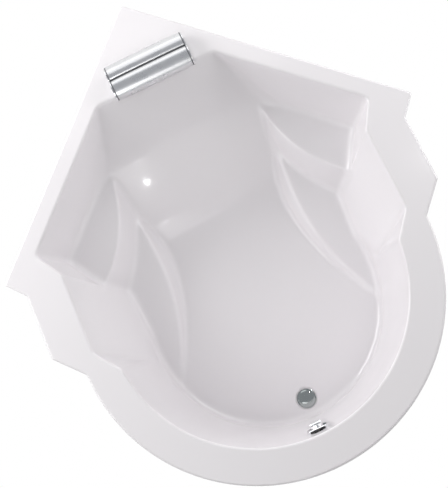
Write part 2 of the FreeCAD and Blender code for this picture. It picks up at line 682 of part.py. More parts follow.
def long_rail(side):
    """Square tube along the bath under the board, drilled for its bolts and screws."""
    low = at(side * LONG_RAIL_U - LONG_RAIL_WIDTH / 2.0, LONG_RAIL_END_V, RIM_HEIGHT - CROSS_RAIL_TOP_Z)
    high = at(side * LONG_RAIL_U + LONG_RAIL_WIDTH / 2.0, LONG_RAIL_START_V, RIM_HEIGHT - LONG_RAIL_TOP_Z)
    wall = V(LONG_RAIL_WALL, 0, LONG_RAIL_WALL)
    rail = block(low, high).cut(block(low + wall - Y, high - wall + Y))
    for place in screw_places():
        if place.x * side > 0:
            under = V(place.x, place.y, CROSS_RAIL_TOP_Z)
            rail = rail.cut(rod(SCREW_RADIUS + BOLT_CLEARANCE, under, under + Z * LONG_RAIL_HEIGHT))
    for v, _ in CROSS_RAILS.values():
        hole = at(side * LONG_RAIL_U, v, RIM_HEIGHT - CROSS_RAIL_TOP_Z)
        rail = rail.cut(rod(BOLT_RADIUS + BOLT_CLEARANCE, hole, hole + Z * LONG_RAIL_WALL))
    return rail


def cross_rail(name):
    """Folded channel across the bath, open below, with a foot at each end."""
    v, foot_u = CROSS_RAILS[name]
    half = foot_u + CROSS_RAIL_OVERHANG
    low = at(-half, v + CROSS_RAIL_WIDTH / 2.0, RIM_HEIGHT - CROSS_RAIL_TOP_Z + CROSS_RAIL_HEIGHT)
    high = at(half, v - CROSS_RAIL_WIDTH / 2.0, RIM_HEIGHT - CROSS_RAIL_TOP_Z)
    wall = CROSS_RAIL_WALL
    rail = block(low, high)
    rail = rail.makeFillet(wall, [e for e in rail.Edges if abs(e.BoundBox.ZMin - high.z) < 0.01
                                  and e.BoundBox.XLength > half])
    rail = rail.cut(block(low + V(-1, wall, -1), high + V(1, -wall, -wall)))
    for side in SIDES.values():
        stud = V(side * foot_u, low.y + CROSS_RAIL_WIDTH / 2.0, low.z)
        rail = rail.cut(rod(STUD_HOLE_RADIUS, stud, stud + Z * CROSS_RAIL_HEIGHT))
        bolt = V(side * LONG_RAIL_U, stud.y, low.z)
        rail = rail.cut(rod(BOLT_RADIUS + BOLT_CLEARANCE, bolt, bolt + Z * CROSS_RAIL_HEIGHT))
    return rail


def frame_bolts():
    """Bolts that join each cross rail to the long rails."""
    bolts = []
    web_under = CROSS_RAIL_TOP_Z - CROSS_RAIL_WALL
    for v, _ in CROSS_RAILS.values():
        for side in SIDES.values():
            place = at(side * LONG_RAIL_U, v, RIM_HEIGHT - web_under)
            head = hexagon(2 * BOLT_HEAD_RADIUS, BOLT_HEAD_HEIGHT, place - Z * BOLT_HEAD_HEIGHT)
            tip = place + Z * (CROSS_RAIL_WALL + LONG_RAIL_WALL + 5.0)
            bolts.append(head.fuse(rod(BOLT_RADIUS, place, tip)))
    return Part.makeCompound(bolts)


def stud_place(name, side, z):
    """Centre of one foot at a height."""
    v, foot_u = CROSS_RAILS[name]
    return at(side * foot_u, v, RIM_HEIGHT - z)


def lock_nuts():
    """Two nuts on each stud that clamp the cross rail's web."""
    nuts = []
    for name in CROSS_RAILS:
        for side in SIDES.values():
            for z in (CROSS_RAIL_TOP_Z - CROSS_RAIL_WALL - NUT_HEIGHT, CROSS_RAIL_TOP_Z):
                place = stud_place(name, side, z)
                bore = rod(STUD_RADIUS + THREAD_CLEARANCE, place, place + Z * NUT_HEIGHT)
                nuts.append(hexagon(NUT_ACROSS_FLATS, NUT_HEIGHT, place).cut(bore))
    return Part.makeCompound(nuts)


def leg_stud(name, side):
    """Threaded stud of one foot, with a bevelled top."""
    bevel = 1.0
    profile = [(0, STUD_SEAT_Z), (STUD_RADIUS, STUD_SEAT_Z), (STUD_RADIUS, STUD_TOP_Z - bevel),
               (STUD_RADIUS - bevel, STUD_TOP_Z), (0, STUD_TOP_Z)]
    return turned(profile, stud_place(name, side, 0.0))


def foot_pad(name, side):
    """Plastic foot: a flared pad with a socket for the stud."""
    bore = STUD_RADIUS + THREAD_CLEARANCE
    profile = [(0, 0), (PAD_RADIUS, 0), (PAD_RADIUS, PAD_RIM_HEIGHT), (PAD_SOCKET_RADIUS + 3.0, PAD_SHOULDER_Z),
               (PAD_SOCKET_RADIUS, PAD_SHOULDER_Z), (PAD_SOCKET_RADIUS, PAD_SOCKET_TOP), (bore, PAD_SOCKET_TOP),
               (bore, STUD_SEAT_Z), (0, STUD_SEAT_Z)]
    return turned(profile, stud_place(name, side, 0.0))


def bracket_frame(side):
    """A wall bracket's middle at the lip's bottom edge, and its directions along and away from the wall."""
    along = V(side, -1, 0) * (1 / SQRT2)
    inward = V(-side, -1, 0) * (1 / SQRT2)
    return at(0, 0, LIP_DROP) + along * (WALL_EDGE / 2.0), along, inward


def wall_bracket(side):
    """Folded steel bracket: screwed to the wall under the lip and hooked up behind it."""
    middle, along, inward = bracket_frame(side)
    t = BRACKET_THICK
    reach = SHELL_WALL + BRACKET_CLEARANCE + t
    profile = [(0, 0), (reach - t, 0), (reach - t, BRACKET_HOOK), (reach, BRACKET_HOOK), (reach, -t),
               (t, -t), (t, -BRACKET_DROP), (0, -BRACKET_DROP)]
    start = middle - along * (BRACKET_WIDTH / 2.0)
    solid = prism([start + inward * a + Z * z for a, z in profile], along * BRACKET_WIDTH)
    for sign in SIDES.values():
        hole = middle + along * (sign * BRACKET_HOLE_SPACING / 2.0) - Z * BRACKET_HOLE_DROP
        solid = solid.cut(rod(BRACKET_HOLE_RADIUS, hole - inward, hole + inward * (t + 1.0)))
    return solid


# ---------------------------------------------------------------- waste


FLANGE_TOP_Z = SEAT_Z + SEAL_TOP_THICK + FLANGE_THICK
PLUG_BASE_Z = FLANGE_TOP_Z + PLUG_LIFT_GAP
STEM_BOTTOM_Z = PLUG_BASE_Z - PLUG_SKIRT_LENGTH - STEM_LENGTH
WASTE_TOP_Z = SEAT_Z - SHELL_WALL - SEAL_BOTTOM_THICK
WASTE_BOTTOM_Z = WASTE_TOP_Z - WASTE_BODY_HEIGHT
INLET_Z = WASTE_TOP_Z - INLET_DROP
LEVER_TIP_Z = STEM_BOTTOM_Z - LEVER_GAP - LEVER_TIP_RADIUS


def on_drain(z, x=0.0, y=0.0):
    """A point on or beside the drain's axis."""
    return V(DRAIN.x + x, DRAIN.y + y, z)


def waste_flange():
    """Drain flange: a thin disc with a neck, four spokes and a guide for the plug's stem."""
    base = SEAT_Z + SEAL_TOP_THICK
    profile = [(NECK_BORE, base - NECK_LENGTH), (NECK_RADIUS, base - NECK_LENGTH), (NECK_RADIUS, base),
               (FLANGE_RADIUS, base), (FLANGE_RADIUS - 1.0, base + FLANGE_THICK / 2.0),
               (FLANGE_RADIUS - 6.0, FLANGE_TOP_Z), (NECK_BORE + 1.5, FLANGE_TOP_Z), (NECK_BORE, FLANGE_TOP_Z - 1.5)]
    body = turned(profile, on_drain(0.0))
    low = base - NECK_LENGTH
    hub = rod(HUB_RADIUS, on_drain(low), on_drain(low + HUB_HEIGHT))
    reach = NECK_BORE + 1.0
    spokes = [block(on_drain(low, -reach, -SPOKE_WIDTH / 2.0), on_drain(low + HUB_HEIGHT, reach, SPOKE_WIDTH / 2.0)),
              block(on_drain(low, -SPOKE_WIDTH / 2.0, -reach), on_drain(low + HUB_HEIGHT, SPOKE_WIDTH / 2.0, reach))]
    solid = fuse_all([body, hub] + spokes)
    return solid.cut(rod(STEM_RADIUS + STEM_CLEARANCE, on_drain(low), on_drain(low + HUB_HEIGHT)))


def waste_seal_top():
    """Thin sealing ring between the flange and the bath."""
    return ring(FLANGE_RADIUS - 1.0, WASTE_HOLE_RADIUS, on_drain(SEAT_Z), on_drain(SEAT_Z + SEAL_TOP_THICK))


def waste_seal_bottom():
    """Thick sealing ring between the bath and the waste body."""
    return ring(WASTE_FLANGE_RADIUS - 1.0, WASTE_HOLE_RADIUS, on_drain(WASTE_TOP_Z),
                on_drain(WASTE_TOP_Z + SEAL_BOTTOM_THICK))


def plug():
    """Domed plug with its skirt and stem, lying on the flange."""
    rim_z = PLUG_BASE_Z + PLUG_RIM_HEIGHT
    top_z = rim_z + PLUG_DOME_RISE
    dome_radius = (PLUG_RADIUS ** 2 + PLUG_DOME_RISE ** 2) / (2 * PLUG_DOME_RISE)
    middle_r = PLUG_RADIUS / 2.0
    middle_z = top_z - dome_radius + math.sqrt(dome_radius ** 2 - middle_r ** 2)
    skirt_z = PLUG_BASE_Z - PLUG_SKIRT_LENGTH
    low = [V(0, 0, STEM_BOTTOM_Z), V(STEM_RADIUS, 0, STEM_BOTTOM_Z), V(STEM_RADIUS, 0, skirt_z),
           V(PLUG_SKIRT_RADIUS, 0, skirt_z), V(PLUG_SKIRT_RADIUS, 0, PLUG_BASE_Z), V(PLUG_RADIUS - 1.0, 0, PLUG_BASE_Z),
           V(PLUG_RADIUS, 0, PLUG_BASE_Z + 1.0), V(PLUG_RADIUS, 0, rim_z)]
    edges = [Part.LineSegment(a, b).toShape() for a, b in zip(low, low[1:])]
    edges.append(Part.Arc(low[-1], V(middle_r, 0, middle_z), V(0, 0, top_z)).toShape())
    edges.append(Part.LineSegment(V(0, 0, top_z), low[0]).toShape())
    solid = Part.Face(Part.Wire(edges)).revolve(V(0, 0, 0), Z, 360)
    solid.translate(on_drain(0.0))
    return solid


def plug_seal():
    """Rubber ring round the plug's skirt."""
    top = on_drain(PLUG_BASE_Z)
    return ring(PLUG_SEAL_RADIUS, PLUG_SKIRT_RADIUS, top - Z * PLUG_SEAL_HEIGHT, top)


def waste_body():
    """Waste cup under the bath: inlet from the overflow, outlet spigot, cable gland and lever bearings."""
    r, w = WASTE_BODY_RADIUS, WASTE_BODY_WALL
    profile = [(SPIGOT_RADIUS - SPIGOT_WALL, WASTE_BOTTOM_Z - SPIGOT_LENGTH), (SPIGOT_RADIUS, WASTE_BOTTOM_Z - SPIGOT_LENGTH),
               (SPIGOT_RADIUS, WASTE_BOTTOM_Z - 2.0), (r, WASTE_BOTTOM_Z + 6.0), (r, WASTE_TOP_Z - WASTE_FLANGE_THICK),
               (WASTE_FLANGE_RADIUS, WASTE_TOP_Z - WASTE_FLANGE_THICK), (WASTE_FLANGE_RADIUS, WASTE_TOP_Z),
               (r - w, WASTE_TOP_Z), (r - w, WASTE_BOTTOM_Z + 7.0), (SPIGOT_RADIUS - SPIGOT_WALL, WASTE_BOTTOM_Z)]
    cup = turned(profile, on_drain(0.0))
    inlet_start, inlet_end = on_drain(INLET_Z, 0, -r + w), on_drain(INLET_Z, 0, -r - INLET_LENGTH)
    inlet = rod(PIPE_RADIUS, inlet_start, inlet_end)
    gland = block(on_drain(INLET_Z - 6.0, r - 2.0, -7.0), on_drain(INLET_Z + 6.0, CABLE_U + 6.0, 7.0))
    solid = fuse_all([cup, inlet.cut(rod(r - 1.0, on_drain(WASTE_BOTTOM_Z), on_drain(WASTE_TOP_Z))), gland])
    solid = solid.cut(rod(PIPE_BORE, on_drain(INLET_Z), inlet_end))
    pin_low = lever_pivot() - X * (r + 1.0)
    pin_high = lever_pivot() + X * (r + 1.0)
    return solid.cut(rod(LEVER_PIN_RADIUS + THREAD_CLEARANCE, pin_low, pin_high))


def lever_pivot():
    """Centre of the lift lever's pin."""
    return on_drain(LEVER_TIP_Z, 0.0, LEVER_ARM)


def lift_lever():
    """Lever under the plug's stem, on a pin across the waste body."""
    pivot, tip = lever_pivot(), on_drain(LEVER_TIP_Z)
    half = LEVER_WIDTH / 2.0
    reach = math.sqrt(WASTE_BODY_RADIUS ** 2 - LEVER_ARM ** 2) - 0.3
    pin = rod(LEVER_PIN_RADIUS, pivot - X * reach, pivot + X * reach)
    eye = rod(LEVER_PIN_RADIUS + 2.0, pivot - X * half, pivot + X * half)
    nose = rod(LEVER_TIP_RADIUS, tip - X * half, tip + X * half)
    arm = block(tip - X * half - Z * 2.0, pivot + X * half + Z * 2.0)
    return fuse_all([pin, eye, nose, arm])


TRAP_NECK_Z = WASTE_BOTTOM_Z - SPIGOT_LENGTH - TRAP_NECK_GAP
TRAP_TOP_Z = TRAP_NECK_Z - TRAP_NECK_HEIGHT
TRAP_BOTTOM_Z = TRAP_NECK_Z - TRAP_HEIGHT
TRAP_OUTLET_Z = TRAP_NECK_Z - TRAP_OUTLET_DROP


def trap_nut():
    """Union nut that holds the trap on the waste body's spigot, with grip flutes."""
    low = TRAP_NECK_Z
    nut = rod(TRAP_NUT_RADIUS, on_drain(low), on_drain(low + TRAP_NUT_HEIGHT))
    for turn in range(0, 360, 30):
        a = math.radians(turn)
        x, y = (TRAP_NUT_RADIUS + 1.5) * math.cos(a), (TRAP_NUT_RADIUS + 1.5) * math.sin(a)
        nut = nut.cut(rod(3.0, on_drain(low, x, y), on_drain(low + TRAP_NUT_HEIGHT, x, y)))
    return nut.cut(rod(SPIGOT_RADIUS + BOLT_CLEARANCE, on_drain(low), on_drain(low + TRAP_NUT_HEIGHT)))


def trap_body():
    """Bottle trap with a level outlet towards the wall."""
    top = TRAP_NECK_Z
    wall = 3.0
    profile = [(0, TRAP_BOTTOM_Z), (CAP_RADIUS - 4.0, TRAP_BOTTOM_Z), (CAP_RADIUS - 4.0, TRAP_BOTTOM_Z + 8.0),
               (TRAP_RADIUS, TRAP_BOTTOM_Z + 8.0), (TRAP_RADIUS, TRAP_TOP_Z - 8.0), (TRAP_RADIUS - 8.0, TRAP_TOP_Z),
               (SPIGOT_RADIUS, TRAP_TOP_Z), (SPIGOT_RADIUS, top), (SPIGOT_RADIUS - wall, top),
               (SPIGOT_RADIUS - wall, TRAP_BOTTOM_Z + 16.0), (0, TRAP_BOTTOM_Z + 16.0)]
    bottle = turned(profile, on_drain(0.0))
    start, end = on_drain(TRAP_OUTLET_Z, 0, TRAP_RADIUS - 4.0), on_drain(TRAP_OUTLET_Z, 0, TRAP_RADIUS + TRAP_OUTLET_LENGTH)
    collar = rod(TRAP_OUTLET_RADIUS + 3.0, start, on_drain(TRAP_OUTLET_Z, 0, TRAP_RADIUS + 8.0))
    outlet = fuse_all([bottle, rod(TRAP_OUTLET_RADIUS, start, end), collar])
    return outlet.cut(rod(TRAP_OUTLET_BORE, start, end))


def trap_cap():
    """Screw cap under the trap for cleaning it out."""
    low, high = TRAP_BOTTOM_Z - 4.0, TRAP_BOTTOM_Z + 8.0
    cap = rod(CAP_RADIUS, on_drain(low), on_drain(high))
    cap = cap.cut(rod(CAP_RADIUS - 4.0 + BOLT_CLEARANCE, on_drain(TRAP_BOTTOM_Z), on_drain(high)))
    grip = block(on_drain(low - 6.0, -16.0, -2.5), on_drain(low, 16.0, 2.5))
    return cap.fuse(grip)


# ---------------------------------------------------------------- overflow


def overflow_placement():
    """Turns a solid made about +Z, with +Y up, onto the overflow's axis."""
    side = OVERFLOW_UP.cross(OVERFLOW_AXIS)
    x, y, z, p = side, OVERFLOW_UP, OVERFLOW_AXIS, OVERFLOW_POINT
    return FreeCAD.Placement(FreeCAD.Matrix(x.x, y.x, z.x, p.x, x.y, y.y, z.y, p.y, x.z, y.z, z.z, p.z, 0, 0, 0, 1))


def on_overflow(solid):
    """A solid moved from the overflow's own axes to its place on the bath."""
    solid.Placement = overflow_placement().multiply(solid.Placement)
    return solid


def overflow_rosette():
    """Cover of the overflow: a round cap cut flat at the top, where the water goes in."""
    r, h, w = ROSETTE_RADIUS, ROSETTE_THICK, ROSETTE_WALL
    cap = Part.makeCylinder(r, h)
    cap = cap.makeFillet(3.0, edges_at(cap, h))
    cap = cap.cut(Part.makeCylinder(r - w, h - w))
    cap = cap.cut(block(V(-r, ROSETTE_FLAT, -1), V(r, r + 1, h + 1)))
    cap = cap.cut(Part.makeCylinder(SPINDLE_RADIUS + STEM_CLEARANCE, h))
    return on_overflow(cap)


def overflow_knob():
    """Turning knob with a raised grip bar."""
    low = ROSETTE_THICK + KNOB_GAP
    knob = Part.makeCylinder(KNOB_RADIUS, KNOB_HEIGHT, V(0, 0, low))
    knob = knob.makeChamfer(1.5, edges_at(knob, low + KNOB_HEIGHT))
    grip = block(V(-KNOB_RADIUS + 2.0, -KNOB_GRIP_WIDTH / 2.0, low + KNOB_HEIGHT - 1.0),
                 V(KNOB_RADIUS - 2.0, KNOB_GRIP_WIDTH / 2.0, low + KNOB_HEIGHT + KNOB_GRIP_HEIGHT))
    grip = grip.makeFillet(2.0, [e for e in grip.Edges if e.BoundBox.ZMin > low + KNOB_HEIGHT])
    knob = knob.fuse(grip)
    knob = knob.cut(Part.makeCylinder(SPINDLE_RADIUS, KNOB_HEIGHT / 2.0, V(0, 0, low)))
    return on_overflow(knob)


def overflow_spindle():
    """Shaft from the knob to the drum that pulls the cable."""
    top = ROSETTE_THICK + KNOB_GAP + KNOB_HEIGHT / 2.0
    low = -SHELL_WALL - OVERFLOW_SEAL_THICK - OVERFLOW_BODY_DEPTH / 2.0
    shaft = Part.makeCylinder(SPINDLE_RADIUS, top - low, V(0, 0, low))
    drum = Part.makeCylinder(SPINDLE_DRUM_RADIUS, 6.0, V(0, 0, low))
    return on_overflow(shaft.fuse(drum))


def overflow_seal():
    """Sealing ring between the bath wall and the overflow body."""
    low = -SHELL_WALL - OVERFLOW_SEAL_THICK
    outer = Part.makeCylinder(OVERFLOW_BODY_RADIUS + 1.0, OVERFLOW_SEAL_THICK, V(0, 0, low))
    return on_overflow(outer.cut(Part.makeCylinder(OVERFLOW_HOLE_RADIUS, OVERFLOW_SEAL_THICK, V(0, 0, low))))


def overflow_centre():
    """Middle of the overflow body's cup, where the hose's axis meets it."""
    back = SHELL_WALL + OVERFLOW_SEAL_THICK + OVERFLOW_BODY_DEPTH / 2.0
    return OVERFLOW_POINT - OVERFLOW_AXIS * back


HOSE_TOP_Z = overflow_centre().z - OVERFLOW_BODY_RADIUS - HOSE_BELOW_CUP
HOSE_BOTTOM_Z = INLET_Z + ELBOW_BEND + 24.0
HOSE_Y = overflow_centre().y


def overflow_body():
    """Cup behind the wall with a spigot straight down and a gland for the cable."""
    low = -SHELL_WALL - OVERFLOW_SEAL_THICK - OVERFLOW_BODY_DEPTH
    cup = Part.makeCylinder(OVERFLOW_BODY_RADIUS, OVERFLOW_BODY_DEPTH, V(0, 0, low))
    cup = cup.makeChamfer(4.0, edges_at(cup, low))
    hollow = Part.makeCylinder(OVERFLOW_BODY_RADIUS - OVERFLOW_BODY_WALL,
                               OVERFLOW_BODY_DEPTH - OVERFLOW_BODY_WALL, V(0, 0, low + OVERFLOW_BODY_WALL))
    cup, hollow = on_overflow(cup), on_overflow(hollow)
    centre = overflow_centre()
    spigot_end = V(0, HOSE_Y, HOSE_TOP_Z - HOSE_CUFF)
    spigot = rod(HOSE_BORE, centre, spigot_end)
    gland = rod(CABLE_RADIUS + 3.0, V(CABLE_U, HOSE_Y, centre.z), V(CABLE_U, HOSE_Y, HOSE_TOP_Z))
    solid = fuse_all([cup, spigot, gland]).cut(hollow)
    return solid.cut(rod(HOSE_BORE - OVERFLOW_BODY_WALL, centre, spigot_end))


def overflow_hose():
    """Corrugated drain hose, straight down from the overflow body."""
    length = HOSE_TOP_Z - HOSE_BOTTOM_Z
    ribbed = length - 2 * HOSE_CUFF
    pitch = ribbed / HOSE_RIBS
    bore = HOSE_BORE + STEM_CLEARANCE
    inner = HOSE_RADIUS - HOSE_GROOVE
    profile = [(bore, 0), (inner, 0), (inner, HOSE_CUFF)]
    for i in range(HOSE_RIBS):
        z = HOSE_CUFF + i * pitch
        profile += [(HOSE_RADIUS, z + pitch * 0.25), (HOSE_RADIUS, z + pitch * 0.6), (inner, z + pitch * 0.85)]
    profile += [(inner, length), (bore, length)]
    return turned(profile, V(0, HOSE_Y, HOSE_BOTTOM_Z))


def hose_nut(low):
    """Union nut round one end of the hose."""
    start, end = V(0, HOSE_Y, low), V(0, HOSE_Y, low + HOSE_NUT_HEIGHT)
    nut = rod(HOSE_NUT_RADIUS, start, end)
    for turn in range(0, 360, 45):
        a = math.radians(turn)
        shift = V(math.cos(a), math.sin(a), 0) * (HOSE_NUT_RADIUS + 1.5)
        nut = nut.cut(rod(3.0, start + shift, end + shift))
    return nut.cut(rod(HOSE_RADIUS - HOSE_GROOVE + BOLT_CLEARANCE, start, end))


def waste_elbow():
    """Bend from the foot of the hose to the waste body's inlet."""
    top = V(0, HOSE_Y, HOSE_BOTTOM_Z + HOSE_CUFF - 2.0)
    bend_top = V(0, HOSE_Y, INLET_Z + ELBOW_BEND)
    bend_middle = V(0, HOSE_Y + ELBOW_BEND * (1 - math.sqrt(0.5)), INLET_Z + ELBOW_BEND * (1 - math.sqrt(0.5)))
    bend_end = V(0, HOSE_Y + ELBOW_BEND, INLET_Z)
    end = on_drain(INLET_Z, 0, -WASTE_BODY_RADIUS - INLET_LENGTH)

    def bar(radius, vertical_radius):
        arc = Part.Wire([Part.Arc(bend_top, bend_middle, bend_end).toShape()])
        circle = Part.Wire([Part.Circle(bend_top, Z, radius).toShape()])
        bend = arc.makePipeShell([circle], True, False)
        return fuse_all([bend, rod(radius, bend_top, V(0, HOSE_Y, HOSE_BOTTOM_Z)), rod(radius, bend_end, end),
                         rod(vertical_radius, V(0, HOSE_Y, HOSE_BOTTOM_Z), top)])

    outer = bar(PIPE_RADIUS, HOSE_BORE)
    inner = bar(HOSE_BORE - OVERFLOW_BODY_WALL, HOSE_BORE - OVERFLOW_BODY_WALL)
    return outer.cut(inner)


def elbow_nut():
    """Union nut where the bend meets the waste body's inlet."""
    middle = on_drain(INLET_Z, 0, -WASTE_BODY_RADIUS - INLET_LENGTH)
    start, end = middle + Y * (HOSE_NUT_HEIGHT / 2.0), middle - Y * (HOSE_NUT_HEIGHT / 2.0)
    nut = rod(HOSE_NUT_RADIUS - 1.0, start, end)
    return nut.cut(rod(PIPE_RADIUS + BOLT_CLEARANCE, start, end))


def bowden_cable():
    """Sheathed cable from the overflow body down to the waste body, with one wide bend."""
    top = V(CABLE_U, HOSE_Y, HOSE_TOP_Z)
    start = V(CABLE_U, HOSE_Y, INLET_Z + CABLE_BEND)
    middle = V(CABLE_U, HOSE_Y + CABLE_BEND * (1 - math.sqrt(0.5)), INLET_Z + CABLE_BEND * (1 - math.sqrt(0.5)))
    bend_end = V(CABLE_U, HOSE_Y + CABLE_BEND, INLET_Z)
    end = on_drain(INLET_Z, CABLE_U, -7.0)
    path = Part.Wire([Part.LineSegment(top, start).toShape(), Part.Arc(start, middle, bend_end).toShape(),
                      Part.LineSegment(bend_end, end).toShape()])
    circle = Part.Wire([Part.Circle(top, Z, CABLE_RADIUS).toShape()])
    cable = path.makePipeShell([circle], True, False)
    print("cable length", round(path.Length, 1), "bend radius", CABLE_BEND)
    return cable


# ---------------------------------------------------------------- head roll


def roll_profile(x, shrink):
    """The roll's cross-section at x: two rounded lobes with a valley, and a lip over the basin's edge."""
    base = RIM_HEIGHT + CUP_HEIGHT + CARRIER_THICK
    back, width, high = ROLL_BACK_V, ROLL_WIDTH, ROLL_HEIGHT - CARRIER_THICK

    def p(share, rise):
        v = back + width * share
        centre_v, centre_z = back + width / 2.0, base + high / 2.0
        z = base + rise
        if shrink:
            v += (centre_v - v) * shrink / (width / 2.0)
            z += (centre_z - z) * shrink / (high / 2.0)
        return V(x, CORNER_Y - v, z)

    start, valley = p(0.0, 6.0), p(0.47, high * 0.72)
    front = p(1.0, high * 0.2)
    toe = p(0.93, -ROLL_LIP)
    heel = p(0.855, 0.0)
    return Part.Wire([
        Part.Arc(start, p(0.17, high * 0.86), valley).toShape(),
        Part.Arc(valley, p(0.76, high), front).toShape(),
        Part.Arc(front, p(1.0, -ROLL_LIP * 0.5), toe).toShape(),
        Part.LineSegment(toe, heel).toShape(),
        Part.LineSegment(heel, p(0.04, 0.0)).toShape(),
        Part.LineSegment(p(0.04, 0.0), start).toShape()])


def headrest_cushion():
    """Soft head roll with a slight crown towards its ends."""
    h = ROLL_HALF_LENGTH
    stations = [(-h, ROLL_CROWN), (-h * 0.85, ROLL_CROWN * 0.3), (0.0, 0.0), (h * 0.85, ROLL_CROWN * 0.3), (h, ROLL_CROWN)]
    return Part.makeLoft([roll_profile(x, s) for x, s in stations], True, True)


def headrest_cap(side):
    """Thin chromed end cap of the head roll."""
    start = side * ROLL_HALF_LENGTH
    face = Part.Face(roll_profile(start, ROLL_CROWN - END_CAP_PROUD))
    return face.extrude(V(side * END_CAP_THICK, 0, 0))


def headrest_carrier():
    """Stiff plate under the roll that holds the suction cups."""
    base = RIM_HEIGHT + CUP_HEIGHT
    margin = 10.0
    low = at(-CARRIER_HALF_LENGTH, ROLL_BACK_V + ROLL_WIDTH * 0.855 - margin, RIM_HEIGHT - base)
    high = at(CARRIER_HALF_LENGTH, ROLL_BACK_V + margin, RIM_HEIGHT - base - CARRIER_THICK)
    plate = block(low, high)
    return plate.makeFillet(8.0, upright_edges(plate))


def suction_cups():
    """Four rubber suction cups on the rim."""
    cups = []
    profile = [(0, 2.0), (CUP_RADIUS, 0.0), (CUP_RADIUS, 1.2), (6.0, 4.5), (6.0, CUP_HEIGHT), (0, CUP_HEIGHT)]
    for across in SIDES.values():
        for along in SIDES.values():
            place = at(across * CUP_HALF_SPACING_U, CUP_MIDDLE_V + along * CUP_HALF_SPACING_V)
            cups.append(turned(profile, place))
    return Part.makeCompound(cups)


# ---------------------------------------------------------------- write the parts
parts = {
    "bath_shell": shell(),
    "base_board": base_board(),
    "rim_batten_foot": foot_batten(),
    "rail_screws": rail_screws(),
    "frame_bolts": frame_bolts(),
    "lock_nuts": lock_nuts(),
    "waste_flange": waste_flange(),
    "waste_seal_top": waste_seal_top(),
    "waste_seal_bottom": waste_seal_bottom(),
    "waste_body": waste_body(),
    "plug": plug(),
    "plug_seal": plug_seal(),
    "lift_lever": lift_lever(),
    "trap_nut": trap_nut(),
    "trap_body": trap_body(),
    "trap_cap": trap_cap(),
    "overflow_rosette": overflow_rosette(),
    "overflow_knob": overflow_knob(),
    "overflow_spindle": overflow_spindle(),
    "overflow_seal": overflow_seal(),
    "overflow_body": overflow_body(),
    "overflow_hose": overflow_hose(),
    "hose_nut_upper": hose_nut(HOSE_TOP_Z - HOSE_NUT_HEIGHT),
    "hose_nut_lower": hose_nut(HOSE_BOTTOM_Z),
    "waste_elbow": waste_elbow(),
    "elbow_nut": elbow_nut(),
    "bowden_cable": bowden_cable(),
    "headrest_cushion": headrest_cushion(),
    "headrest_carrier": headrest_carrier(),
    "headrest_suction_cups": suction_cups(),
}
for side_name, sign in SIDES.items():
    parts["rim_batten_" + side_name] = wall_batten(sign)
    parts["long_rail_" + side_name] = long_rail(sign)
    parts["wall_bracket_" + side_name] = wall_bracket(sign)
    parts["headrest_cap_" + side_name] = headrest_cap(sign)
for rail in CROSS_RAILS:
    parts["cross_rail_" + rail] = cross_rail(rail)
    for side_name, sign in SIDES.items():
        parts["leg_stud_%s_%s" % (rail, side_name)] = leg_stud(rail, sign)
        parts["foot_pad_%s_%s" % (rail, side_name)] = foot_pad(rail, sign)

for name, shape in sorted(parts.items()):
    shape.exportStep("parts/%s.step" % name)
    box = shape.BoundBox
    print("%-24s solids %2d valid %s faces %3d  x %7.1f..%7.1f  y %7.1f..%7.1f  z %6.1f..%6.1f" % (
        name, len(shape.Solids), shape.isValid(), len(shape.Faces),
        box.XMin, box.XMax, box.YMin, box.YMax, box.ZMin, box.ZMax))
print("nodes", len(parts))
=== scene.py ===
# %% [markdown]
# # A corner bath
#
# This notebook dresses an acrylic corner bath: a white one-piece shell with a
# round foot end, arm shelves and a sloping back, a silver head roll, a chrome
# pop-up waste and overflow, and the steel frame with its feet underneath.
#
# The measured model comes first. Its bodies, nodes and joints are the frame
# that every piece below sits in, in metres, with +Z up.

# %% load the measured model
import math

import bmesh
import bpy
import numpy as np
from mathutils import Matrix, Vector
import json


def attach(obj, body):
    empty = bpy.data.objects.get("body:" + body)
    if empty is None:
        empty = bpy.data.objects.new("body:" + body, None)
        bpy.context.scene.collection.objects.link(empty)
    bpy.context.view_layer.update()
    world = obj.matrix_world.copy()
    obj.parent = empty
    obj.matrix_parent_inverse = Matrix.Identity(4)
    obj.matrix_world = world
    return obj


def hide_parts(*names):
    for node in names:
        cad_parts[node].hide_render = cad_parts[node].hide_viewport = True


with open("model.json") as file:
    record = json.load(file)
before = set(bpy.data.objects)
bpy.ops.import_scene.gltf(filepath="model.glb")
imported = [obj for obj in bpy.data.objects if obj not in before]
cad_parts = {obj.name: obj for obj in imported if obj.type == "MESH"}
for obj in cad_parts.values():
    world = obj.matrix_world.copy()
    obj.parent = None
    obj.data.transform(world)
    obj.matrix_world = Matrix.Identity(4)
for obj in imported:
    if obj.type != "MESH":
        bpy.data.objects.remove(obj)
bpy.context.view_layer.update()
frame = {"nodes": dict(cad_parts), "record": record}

# %% [markdown]
# ## Shader maths
#
# A finish is easier to read when it is written as a formula. The small class
# below wraps one socket of a material, and gives it the operators that a
# formula needs, so `0.2 + 0.1 * noise` adds its own Math nodes.

# %% a socket that can be added and multiplied
class Wire:
    """One output socket of a node tree, with operators that add Math nodes."""

    def __init__(self, nodes, socket):
        self.nodes = nodes
        self.socket = socket

    def maths(self, operation, a, b):
        """A Math node for two wires or numbers."""
        return self.nodes.node("ShaderNodeMath", {"operation": operation}, {0: a, 1: b})

    def __add__(self, other):
        return self.maths("ADD", self, other)

    def __radd__(self, other):
        return self.maths("ADD", other, self)

    def __sub__(self, other):
        return self.maths("SUBTRACT", self, other)

    def __rsub__(self, other):
        return self.maths("SUBTRACT", other, self)

    def __mul__(self, other):
        return self.maths("MULTIPLY", self, other)

    def __rmul__(self, other):
        return self.maths("MULTIPLY", other, self)


# %% a node tree built from a few calls
# the Mix node has several sockets called A, B and Result: these are its colour ones
COLOUR_A, COLOUR_B, COLOUR_RESULT = 6, 7, 2


